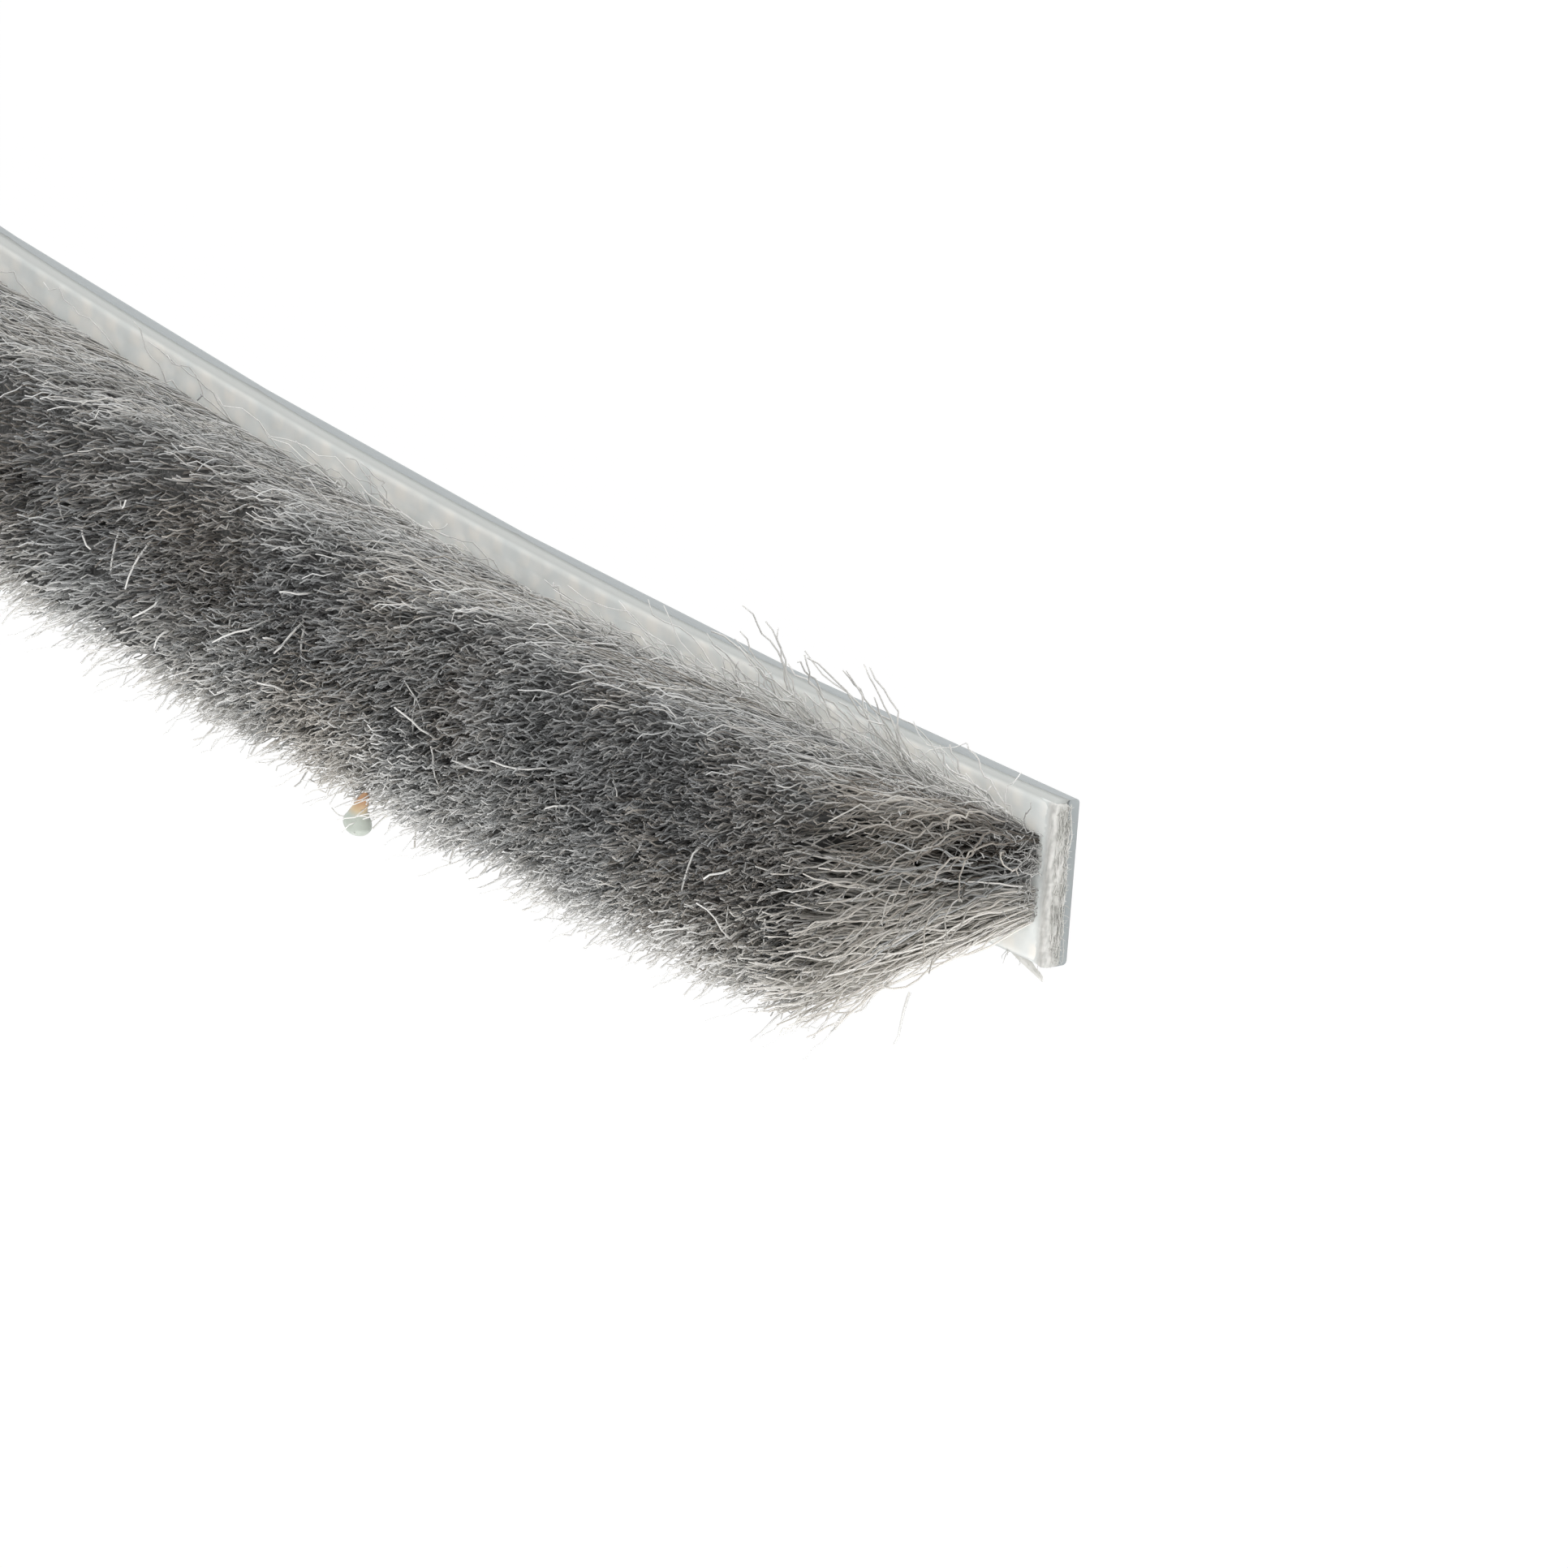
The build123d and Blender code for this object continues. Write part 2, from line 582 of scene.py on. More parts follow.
@dataclass(frozen=True)
class TapeFinish:
    """Woven white yarn under a thin clear skin: pale grey with cream loops in rows."""

    name: str = "woven_tape_white"
    ground: tuple = (0.94, 0.94, 0.925)
    dull: tuple = (0.89, 0.905, 0.90)
    loop: tuple = (0.965, 0.955, 0.93)
    edge: tuple = (0.70, 0.71, 0.70)
    painted_rim_depth: tuple = (0.23 * MM, 0.05 * MM)
    cloud: float = 0.55
    fine: float = 3.5
    relief: float = 0.2
    relief_depth: float = 0.04 * MM
    roughness: float = 0.5

    def loops(self, graph: Graph, tape: "WovenTape", across: Any, turn: Any, cloud: Any) -> Number:
        """Where the loops of the weave show.

        Args:
            graph: the material's graph.
            tape: the tape, for the pitch and the places of its loops.
            across: distance round the tape.
            turn: place in the tile, as an angle.
            cloud: noise that lets the loops wander.

        Returns:
            1 on a loop and 0 off it.
        """
        loops = 0.0
        for side in (1, -1):
            for row, phase in tape.loop_rows:
                off = (across - (tape.girth / 4 + side * row)) / tape.loop_width
                round_tile = turn * tape.loops_per_tile + 2 * math.pi * phase
                wave = graph.math("COSINE", round_tile + cloud * 2.0)
                loops += graph.smooth(wave, -0.3, 1.0) * (1 - graph.smooth(off * off, 0.0, 1.6))
        return loops

    def material(self, tape: "WovenTape") -> bpy.types.Material:
        """Builds the material. Its map runs round the tape and repeats along it.

        Args:
            tape: the tape, for its sizes.

        Returns:
            The material.
        """
        surface = Surface(self.name)
        graph = surface.graph
        around, along, _ = graph.fibre_map()
        turn = along * (2 * math.pi)
        spread = tape.tile / (2 * math.pi) / MM
        ring = graph.math("COSINE", turn) * spread, graph.math("SINE", turn) * spread
        place = graph.vector(*ring, around * (tape.girth / MM))
        cloud = graph.noise(place, self.cloud, 3.0)
        fine = graph.noise(place, self.fine)
        across = around * tape.girth
        loops = self.loops(graph, tape, across, turn, cloud)
        base = graph.ramp(graph.smooth(cloud, 0.32, 0.68), [(0.0, self.dull), (1.0, self.ground)])
        share = loops * (0.15 + 0.7 * graph.smooth(cloud, 0.35, 0.6))
        colour = graph.blend(share, base, linear(self.loop))
        # Painted shade: the rounded rim and all beyond it turn to the darker edge colour, against the light
        # that the rounding catches
        off = abs(across - tape.girth / 4)
        painted_rim_shade = graph.smooth(off, *(tape.width / 2 - depth for depth in self.painted_rim_depth))
        inputs = {
            "Base Color": graph.blend(painted_rim_shade, colour, linear(self.edge)),
            "Roughness": self.roughness,
            "Normal": graph.bump(loops + fine * 0.5, self.relief, self.relief_depth),
        }
        return surface.dressed(inputs)


@dataclass(frozen=True)
class PlainFinish:
    """One soft colour with a slight mottle, for torn cloth and frayed thread."""

    name: str
    dark: tuple
    light: tuple
    mottle: float = 1.5
    drawn: float = 1.0
    joined: tuple | None = None
    joined_depth: tuple = (0.75 * MM, 0.05 * MM)
    roughness: float = 0.6

    def material(self) -> bpy.types.Material:
        """Builds the material, which starts in the joined colour inside the cut, if it has one.

        Returns:
            The material.
        """
        surface = Surface(self.name)
        graph = surface.graph
        x, y, z = graph.split(graph.place())
        cloud = graph.noise(graph.vector(x, y * self.drawn, z), self.mottle / MM)
        colour = graph.ramp(cloud, [(0.35, self.dark), (0.65, self.light)])
        if self.joined:
            torn = graph.smooth(LINE.beyond_cut(graph, x, y), *(-depth for depth in self.joined_depth))
            colour = graph.blend(torn, linear(self.joined), colour)
        return surface.dressed({"Base Color": colour, "Roughness": self.roughness})


@dataclass(frozen=True)
class FibreField:
    """One piece of pile: where its fibres stand, how thick they are and how they bend.

    A swell leans whole clumps alike, or lengthens them and paints them paler as painted light,
    with painted shade in the dimples between; and a bundle draws the fibres of one yarn
    together. Row is 1 or -1 where only the row at +Y or -Y has the fibres. Start is the
    share of the length below which a fibre isn't drawn.
    """

    # Where the fibres stand
    name: str
    reach_from: float
    reach_to: float
    inner: float = 0.0
    outer: float = 1.0
    row: float = 0.0
    spacing: float = 0.17 * MM
    # How they are made
    thickness: float = 0.09 * MM
    start: float = 0.0
    rings: int = 5
    length: float = PILE.length
    length_scatter: float = 0.03
    shortened: float = 0.0
    # How they lean, in radians, singly, by the swell and by the bundle
    lean_scatter: float = 0.09
    flank_lean: float = 0.035
    clump_lean: float = 0.16
    clump_length: float = 0.05
    bundle: float = 0.95 * MM
    bundle_pull: float = 0.75
    bundle_lean: float = 0.05
    bundle_length: float = 0.03
    # How crooked they are
    flare: float = 0.0
    crimp: float = 0.13 * MM
    wave: float = 0.10 * MM
    curl: float = 0.15
    gather: float = 1.5
    # How they splay by an end of the strip, and thin out behind the cut
    end_at: float = 0.0
    end_zone: float = 5.0 * MM
    end_splay: float = 0.0
    end_scatter: float = 0.0
    hollow: float = 0.0
    wild_share: float = 0.04
    # Their shade, from 0, deep, to 1, pale, much of it painted light and shade, and their warmth
    shade: float = 0.238
    shade_scatter: float = 0.04
    shade_bundle: float = 0.06
    painted_clump_shade: float = 0.25
    flank_shade: float = 0.46
    depth_shade: float = 0.06
    depth: float = 1.0 * MM
    tip_shade: float = 0.0
    warmth: float = 0.0
    seed: int = 1

    def build(self, tree: bpy.types.NodeTree, material: bpy.types.Material) -> bpy.types.Object:
        """Runs the fibre tree with this field's sizes and keeps the result as a mesh.

        Args:
            tree: the fibre tree.
            material: the yarn's material.

        Returns:
            A plain mesh object at the origin.
        """
        host = bpy.data.objects.new(self.name + "_host", bpy.data.meshes.new(self.name))
        bpy.context.scene.collection.objects.link(host)
        modifier = host.modifiers.new("fibres", "NODES")
        modifier.node_group = tree
        values = {f.name: getattr(self, f.name) for f in fields(self)}
        values["material"] = material
        for item in tree.interface.items_tree:
            if item.in_out == "INPUT":
                modifier[item.identifier] = values[item.name]
        bpy.context.view_layer.update()
        shown = host.evaluated_get(bpy.context.evaluated_depsgraph_get())
        mesh = bpy.data.meshes.new_from_object(shown)
        host.modifiers.clear()
        bpy.data.objects.remove(host)
        mesh.name = self.name
        return add_object(self.name, mesh)


def add_object(name: str, mesh: bpy.types.Mesh) -> bpy.types.Object:
    """Links a new object at the origin.

    Args:
        name: the object's name.
        mesh: its mesh.

    Returns:
        The object.
    """
    made = bpy.data.objects.new(name, mesh)
    bpy.context.scene.collection.objects.link(made)
    return made


def finished(
    name: str, mesh: bpy.types.Mesh, material: bpy.types.Material, smooth: bool = True
) -> bpy.types.Object:
    """Links a new object with a mesh and a material.

    Args:
        name: the object's name.
        mesh: its mesh.
        material: its material.
        smooth: whether its faces are shaded smooth.

    Returns:
        The object.
    """
    mesh.polygons.foreach_set("use_smooth", [smooth] * len(mesh.polygons))
    mesh.materials.append(material)
    return add_object(name, mesh)


class Swell(Enum):
    """Slow swells over the pile, each by its place in the noise."""

    LEAN_OUT = 3.0
    LEAN_ENDWAYS = 6.0
    # Lengthens clumps and paints them paler: painted light on the longer clumps, painted shade in the
    # dimples
    LENGTH_AND_PAINTED_SHADE = 12.0
    WARMTH = 40.0


class FibreTree:
    """The Geometry Nodes tree that grows yarn fibres from the strip's ground tape."""

    hollow_middle = 0.42
    hollow_spread = 0.36

    def __init__(self) -> None:
        """Makes the tree with one named input for each size of a FibreField."""
        self.tree = bpy.data.node_groups.new("yarn_fibres", "GeometryNodeTree")
        self.graph = Graph(self.tree)
        faces = self.tree.interface
        faces.new_socket("Geometry", in_out="OUTPUT", socket_type="NodeSocketGeometry")
        for item in fields(FibreField):
            if item.name != "name":
                kind = "NodeSocketInt" if item.type is int else "NodeSocketFloat"
                faces.new_socket(item.name, in_out="INPUT", socket_type=kind)
        faces.new_socket("material", in_out="INPUT", socket_type="NodeSocketMaterial")
        entry = self.tree.nodes.new("NodeGroupInput")
        names = [s.name for s in entry.outputs if s.name]
        self.given = {name: self.graph.out(entry, name) for name in names}
        self.build()

    def random(self, number: Any, salt: int, low: float = -1.0, high: float = 1.0) -> Number:
        """A random number by a point's own number, the seed and a salt."""
        inputs = {"Min": low, "Max": high, "ID": number, "Seed": self.given["seed"] + salt}
        return self.graph.add("FunctionNodeRandomValue", inputs, "Value")

    def scattered(self, salt: int, low: float = -1.0, high: float = 1.0) -> Number:
        """A random number for each fibre."""
        return self.random(self.fibre, salt, low, high)

    def bent(self, salt: int) -> Number:
        """A random number for each ring of each fibre."""
        return self.random(self.graph.add("GeometryNodeInputIndex"), salt)

    def stored(self, geometry: Any, name: str, value: Any) -> Number:
        """Geometry with a number stored on its points."""
        inputs = {"Geometry": geometry, "Name": name, "Value": value}
        return self.graph.add("GeometryNodeStoreNamedAttribute", inputs, data_type="FLOAT")

    def read(self, name: str) -> Number:
        """A number that was stored on the points."""
        return self.graph.add("GeometryNodeInputNamedAttribute", {"Name": name}, data_type="FLOAT")

    def feet(self) -> Number:
        """Points spread evenly over the crown's width, with each fibre's reach and root.

        Returns:
            The points.
        """
        graph, given = self.graph, self.given
        sizes = {
            "Size X": given["reach_to"] - given["reach_from"],
            "Size Y": (given["outer"] - given["inner"]) * PILE.crown_width,
            "Vertices X": 2,
            "Vertices Y": 2,
        }
        spacing = given["spacing"]
        inputs = {
            "Mesh": graph.add("GeometryNodeMeshGrid", sizes),
            "Distance Min": spacing,
            "Density Max": 1.8 / (spacing * spacing),
            "Seed": given["seed"],
        }
        kind = "GeometryNodeDistributePointsOnFaces"
        points = graph.add(kind, inputs, distribute_method="POISSON")
        x, y, _ = graph.split(graph.add("GeometryNodeInputPosition"))
        middle = (given["reach_from"] + given["reach_to"]) * 0.5
        points = self.stored(points, "reach", x + middle)
        points = self.stored(points, "root", abs(y) / (PILE.crown_width / 2) + given["inner"])
        points = self.stored(points, "side", graph.math("SIGN", y))
        points = self.stored(points, "fibre", graph.add("GeometryNodeInputIndex"))
        self.fibre = self.read("fibre")
        hollow = self.in_hollow() * graph.math("LESS_THAN", self.read("reach"), given["hollow"])
        hollow = graph.math("GREATER_THAN", hollow, self.scattered(17, 0.05, 1.2))
        other_row = graph.math("LESS_THAN", self.read("side") * given["row"], -0.5)
        inputs = {"Geometry": points, "Selection": graph.math("MAXIMUM", hollow, other_row)}
        return graph.add("GeometryNodeDeleteGeometry", inputs, domain="POINT")

    def in_hollow(self) -> Number:
        """Share of the hollow behind the cut end, which lies inside the +Y row.

        Returns:
            1 inside that row, falling to 0 at its flanks and in the other row.
        """
        off = (self.read("root") - self.hollow_middle) / self.hollow_spread
        left_row = self.graph.math("GREATER_THAN", self.read("side"), 0.0)
        return self.graph.smooth(1 - off * off, 0.0, 0.6) * left_row

    def build(self) -> None:
        """Joins the whole tree: feet, bent paths, closed three-sided fibres, their map."""
        graph, given = self.graph, self.given
        line = graph.add("GeometryNodeCurvePrimitiveLine", {"End": (0.0, 0.0, 1.0)})
        path = graph.add("GeometryNodeResampleCurve", {"Curve": line, "Count": given["rings"]})
        grown = graph.add("GeometryNodeInstanceOnPoints", {"Points": self.feet(), "Instance": path})
        grown = graph.add("GeometryNodeRealizeInstances", {"Geometry": grown})

        self.fibre = self.read("fibre")
        self.yarn = self.bundled()
        _, _, drawn = graph.split(graph.add("GeometryNodeInputPosition"))
        gathered = 1 - graph.math("POWER", 1 - drawn, given["gather"])
        grown = self.stored(grown, "along", given["start"] + (1 - given["start"]) * gathered)
        grown = self.stored(grown, "shade", self.shade())
        grown = self.stored(grown, "warmth", self.warmth())
        grown = graph.add("GeometryNodeSetPosition", {"Geometry": grown, "Position": self.path()})
        skin = self.thickened(grown)

        shade, warmth, along, turn = (self.read(n) for n in ("shade", "warmth", "along", "turn"))
        place = graph.vector(*MAP.spot(shade, warmth, along, turn), 0.0)
        inputs = {"Geometry": skin, "Name": FIBRE_MAP, "Value": place}
        kind = "GeometryNodeStoreNamedAttribute"
        skin = graph.add(kind, inputs, data_type="FLOAT2", domain="CORNER")
        for name in ("reach", "root", "side", "fibre", "along", "shade", "warmth", "turn"):
            skin = graph.add("GeometryNodeRemoveAttribute", {"Geometry": skin, "Name": name})
        skin = graph.add("GeometryNodeSetShadeSmooth", {"Geometry": skin, "Shade Smooth": True})
        skin = graph.add("GeometryNodeRealizeInstances", {"Geometry": skin})
        inputs = {"Geometry": skin, "Material": given["material"]}
        graph.node("NodeGroupOutput", {"Geometry": graph.add("GeometryNodeSetMaterial", inputs)})

    def thickened(self, grown: Number) -> Number:
        """Closed three-sided fibres, a little thinner at their tips.

        Args:
            grown: the fibres' middle lines.

        Returns:
            The fibres as a mesh.
        """
        graph = self.graph
        circle = graph.add("GeometryNodeCurvePrimitiveCircle", {"Resolution": 3, "Radius": 0.5}, "Curve")
        taper = 1 - graph.smooth(self.read("along"), 0.8, 1.0) * 0.3
        inputs = {
            "Curve": grown,
            "Profile Curve": self.stored(circle, "turn", graph.add("GeometryNodeInputIndex")),
            "Scale": self.given["thickness"] * taper,
            "Fill Caps": True,
        }
        return graph.add("GeometryNodeCurveToMesh", inputs)

    def clump(self, swell: Swell, scale: float = 0.30) -> Number:
        """A slow swell over the pile, which leans whole clumps together or paints them lighter and darker
        as painted light and shade.

        Args:
            swell: which swell.
            scale: swells in a millimetre.

        Returns:
            A number from about -1 to 1.
        """
        across = self.read("side") * self.read("root") * PILE.crown_width / 2
        place = self.graph.vector(self.read("reach"), across, swell.value)
        return (self.graph.noise(place, scale / MM, 1.0) - 0.5) * 3.0

    def bundled(self) -> tuple[Number, Number, Number, Number, Number]:
        """The yarn bundle that a fibre belongs to. The two rows have no bundle in common.

        Returns:
            Reach and across of the bundle's middle, and three random numbers for it.
        """
        graph, size = self.graph, self.given["bundle"]
        apart = self.read("side") * 2.0
        across = self.read("root") * (PILE.crown_width / 2)
        place = graph.vector((self.read("reach") + apart) / size, across / size, 0.0)
        inputs = {"Vector": place, "Scale": 1.0, "Randomness": 1.0}
        cells = graph.node("ShaderNodeTexVoronoi", inputs, voronoi_dimensions="2D")
        x, y, _ = graph.split(graph.out(cells, "Position"))
        chance = (part * 2 - 1 for part in graph.split(graph.out(cells, "Color")))
        return x * size - apart, y * size, *chance

    def warmth(self) -> Number:
        """Warmth of each fibre.

        Returns:
            The number of its band on the map, from 0, cool grey, up to brownish grey.
        """
        graph = self.graph
        swell = self.clump(Swell.WARMTH, 0.22) + self.scattered(19) * 0.25 + self.given["warmth"]
        band = graph.math("FLOOR", graph.smooth(swell, -0.6, 1.0) * MAP.bands)
        return graph.math("MINIMUM", band, MAP.bands - 1)

    def shade(self) -> Number:
        """Shade of each ring of each fibre.

        Returns:
            A number from 0, deep, to 1, pale.
        """
        graph, given = self.graph, self.given
        along, root, side = self.read("along"), self.read("root"), self.read("side")
        tone = given["shade"] + self.scattered(11) * given["shade_scatter"]
        # Painted light and shade: the clumps that stand longer are paler, the dimples between them darker
        tone = tone + self.clump(Swell.LENGTH_AND_PAINTED_SHADE) * given["painted_clump_shade"]
        tone = tone + self.yarn[2] * given["shade_bundle"]
        # The flanks catch the light, the fibres sink into shade below the tips
        outer = graph.smooth(root - side * 0.12, 0.40, 1.0)
        tone = tone + outer * given["flank_shade"] * (1 - side * 0.35)
        buried = graph.smooth((1 - along) * given["length"] / given["depth"], 0.1, 1.0)
        tone = tone - buried * given["depth_shade"] * (1 - graph.smooth(root, 0.75, 0.95))
        # Painted shade: a negative tip_shade darkens each fibre towards its tip, like the shaded tip face
        tone = tone + graph.smooth(along, 0.7, 1.0) * given["tip_shade"]
        # Painted shadow: behind the hollow in the cut end, the lower part of the fibres is painted dark
        low = 1 - graph.smooth(along, 0.35, 0.7)
        behind = graph.math("GREATER_THAN", given["hollow"], 0.0) * low
        tone = tone - behind * (self.in_hollow() * 0.37 + 0.18)
        return graph.math("MINIMUM", graph.math("MAXIMUM", tone, 0.02), 0.98)

    def leans(self) -> tuple[Number, Number]:
        """How each fibre leans at each of its rings.

        Returns:
            Its outward lean and its lean towards the cut end, in radians.
        """
        graph, given = self.graph, self.given
        root, along = self.read("root"), self.read("along")
        outer = graph.smooth(root, 0.7, 1.0)
        chance = self.yarn[2:]
        # A wild fibre leans farther. An outer one is held by its neighbours, and an end frees it
        wild = graph.math("LESS_THAN", self.scattered(18, 0.0, 1.0), given["wild_share"])
        loose = given["lean_scatter"] * (1 + wild * 1.4)
        held = graph.smooth(root, 0.3, 0.95) * 0.82
        from_end = abs(self.read("reach") - given["end_at"])
        freed = 1 - graph.math("MINIMUM", from_end / given["end_zone"], 1.0)

        drift = (self.scattered(1) + self.scattered(2)) * loose * (1 - held)
        drift = drift + chance[1] * given["bundle_lean"] * along
        drift = drift + self.clump(Swell.LEAN_OUT) * given["clump_lean"] * 0.6 * (1 - outer * 0.5)
        drift = drift + freed * self.scattered(10) * given["end_scatter"] * (1 - outer * 0.9)
        drift = drift + self.scattered(9) * given["curl"] * along * (1 - outer * 0.85)
        # No fibre drifts out past the flank, nor far over into the other row
        drift = graph.math("MINIMUM", drift, (1 - root) * 0.3 + 0.05)
        drift = graph.math("MAXIMUM", drift, -0.22 - root * 0.3)
        outward = PILE.lean(root) + drift + outer * given["flank_lean"] * along

        endways = (self.scattered(3) + self.scattered(4)) * loose
        endways = endways + self.clump(Swell.LEAN_ENDWAYS) * given["clump_lean"]
        endways = endways + chance[2] * given["bundle_lean"] * along
        endways = endways + freed * given["end_splay"] + freed * self.scattered(5) * given["end_scatter"]
        return outward, endways + self.scattered(13) * given["curl"] * along

    def span(self) -> Number:
        """Length of each fibre.

        Returns:
            The distance from its foot to each of its rings.
        """
        given = self.given
        size = 1 + self.scattered(6) * given["length_scatter"]
        size = size + self.clump(Swell.LENGTH_AND_PAINTED_SHADE) * given["clump_length"]
        size = size + self.yarn[2] * given["bundle_length"]
        size = size - self.scattered(20, 0.0, 1.0) * given["shortened"]
        return given["length"] * size * self.read("along")

    def path(self) -> Number:
        """Where each ring of a fibre stands.

        Returns:
            The ring's place in the model's frame.
        """
        graph, given = self.graph, self.given
        reach, root, along = self.read("reach"), self.read("root"), self.read("along")
        outward, endways = self.leans()
        span = self.span()
        across = PILE.foot(root) + span * graph.math("SINE", outward) + PILE.bulge(root, along)
        across = across + given["flare"] * graph.smooth(along, given["start"], 1.0)
        forward = span * graph.math("SINE", endways)
        height = PILE.base + span * graph.math("COSINE", outward) * graph.math("COSINE", endways)

        # The fibres of a bundle draw together towards their tips
        middle, centre = self.yarn[:2]
        pull = given["bundle_pull"] * along * along * self.scattered(7, 0.3, 1.0)
        forward = forward + (reach - middle) * pull
        across = across + (centre - root * (PILE.crown_width / 2)) * pull

        # Crimp kinks each ring by itself, and a wave swings the whole fibre
        rise = graph.smooth(along, 0.0, 0.25)
        kink = given["crimp"] * rise
        swing = given["wave"] * rise * self.scattered(16, 0.1, 1.0)
        turns = along * self.scattered(14, 8.0, 22.0) + self.scattered(15, 0.0, 6.28)
        across = across + self.bent(21) * kink + graph.math("SINE", turns) * swing
        forward = forward + self.bent(22) * kink + graph.math("COSINE", turns) * swing
        return LINE.place_nodes(graph, reach - forward, across * self.read("side"), height)


@dataclass(frozen=True)
class Strand:
    """How a kind of loose fibre is made: its straight pieces, and the kinks between them."""

    pieces: int
    kink: float
    thickness: float
    shades: tuple = (0.75, 0.97)
    taper: float = 0.7


class Threads:
    """Thin closed threads along given paths, gathered in one mesh."""

    warmth = 1

    def __init__(self, name: str, seed: int) -> None:
        """Starts an empty mesh.

        Args:
            name: the piece's name.
            seed: the seed of its random numbers.
        """
        self.name = name
        self.rng = random.Random(seed)
        self.vertices: list = []
        self.faces: list = []
        self.places: list = []

    def add(self, path: Sequence[Vector], thickness: float, shade: float, taper: float = 0.7) -> None:
        """Adds a three-sided thread.

        Args:
            path: the points of its middle line.
            thickness: how thick it is at its foot.
            shade: from 0, deep, to 1, pale.
            taper: thickness at the tip as a share of that at the foot.
        """
        first = len(self.vertices)
        last = len(path) - 1
        across = (path[1] - path[0]).orthogonal().normalized()
        for ring, point in enumerate(path):
            along = (path[min(ring + 1, last)] - path[max(ring - 1, 0)]).normalized()
            across = (across - along * across.dot(along)).normalized()
            third = along.cross(across)
            radius = thickness * (1 + (taper - 1) * ring / last) / 2
            for corner in range(3):
                turn = 2 * math.pi * corner / 3
                spoke = across * math.cos(turn) + third * math.sin(turn)
                self.vertices.append(point + spoke * radius)
        for ring in range(last):
            low = first + 3 * ring
            for corner in range(3):
                after = (corner + 1) % 3
                self.faces.append((low + corner, low + after, low + 3 + after, low + 3 + corner))
                spots = ((corner, ring), (after, ring), (after, ring + 1), (corner, ring + 1))
                self.places.extend(self.spot(shade, corner, ring / last) for corner, ring in spots)
        for ring, order in ((0, (2, 1, 0)), (last, (0, 1, 2))):
            self.faces.append(tuple(first + 3 * ring + corner for corner in order))
            self.places.extend(self.spot(shade, corner, ring / last) for corner in order)

    def spot(self, shade: float, corner: int, along: float) -> tuple[float, float]:
        """Place of a thread's corner on the fibre map."""
        return MAP.spot(shade, self.warmth, along, corner)

    def grow(self, strand: Strand, foot: tuple, heading: tuple, bend: tuple, length: float) -> list[Vector]:
        """Path of a loose fibre.

        Args:
            strand: how the fibre is made.
            foot: reach, across and height of its foot.
            heading: outward lean and lean towards the cut end, in radians.
            bend: how much each lean grows from foot to tip.
            length: the fibre's length.

        Returns:
            The path's points in the model's frame.
        """
        reach, across, height = foot
        outward, endways = heading
        points = [LINE.place(reach, across, height)]
        side = 1 if across >= 0 else -1
        step = length / strand.pieces
        for _ in range(strand.pieces):
            out = outward + self.rng.gauss(0, strand.kink)
            end = endways + self.rng.gauss(0, strand.kink)
            across += side * step * math.sin(out)
            reach -= step * math.sin(end) * math.cos(out)
            height += step * math.cos(out) * math.cos(end)
            outward += bend[0] / strand.pieces
            endways += bend[1] / strand.pieces
            points.append(LINE.place(reach, across, height))
        return points

    def loose(self, strand: Strand, foot: tuple, heading: tuple, bend: tuple, length: float) -> None:
        """Adds a loose fibre, which takes the same values as grow."""
        path = self.grow(strand, foot, heading, bend, length)
        self.add(path, strand.thickness, self.rng.uniform(*strand.shades), strand.taper)

    def build(self, material: bpy.types.Material) -> bpy.types.Object:
        """Makes the mesh with its fibre map.

        Args:
            material: the threads' material.

        Returns:
            The object.
        """
        mesh = bpy.data.meshes.new(self.name)
        mesh.from_pydata(self.vertices, [], self.faces)
        layer = mesh.uv_layers.new(name=FIBRE_MAP)
        for spot, place in zip(layer.data, self.places):
            spot.uv = place
        return finished(self.name, mesh, material)


def skin(name: str, rings: Sequence[Sequence[Vector]]) -> bpy.types.Mesh:
    """A closed mesh over a row of rings.

    Args:
        name: the mesh's name.
        rings: the points of each ring, as many in one as in another.

    Returns:
        The mesh, with its faces turned outwards.
    """
    count = len(rings[0])
    vertices = [point for ring in rings for point in ring]
    faces = []
    for ring in range(len(rings) - 1):
        for n in range(count):
            low, after = ring * count + n, ring * count + (n + 1) % count
            faces.append((low, after, after + count, low + count))
    faces.append(tuple(range(count)))
    faces.append(tuple((len(rings) - 1) * count + n for n in range(count)))
    mesh = bpy.data.meshes.new(name)
    mesh.from_pydata(vertices, [], faces)
    work = bmesh.new()
    work.from_mesh(mesh)
    bmesh.ops.recalc_face_normals(work, faces=work.faces)
    work.to_mesh(mesh)
    work.free()
    return mesh


def steps_between(start: float, middle: float, end: float, fine: float, coarse: float) -> list[float]:
    """Reaches in fine steps up to middle and in coarse ones beyond it.

    Args:
        start: the first reach.
        middle: where the fine steps end.
        end: the last reach.
        fine: about the length of a fine step.
        coarse: about the length of a coarse step.

    Returns:
        The reaches in order.
    """
    near = max(1, round((middle - start) / fine))
    far = max(1, round((end - middle) / coarse))
    reaches = [start + (middle - start) * n / near for n in range(near)]
    return reaches + [middle + (end - middle) * n / far for n in range(far + 1)]


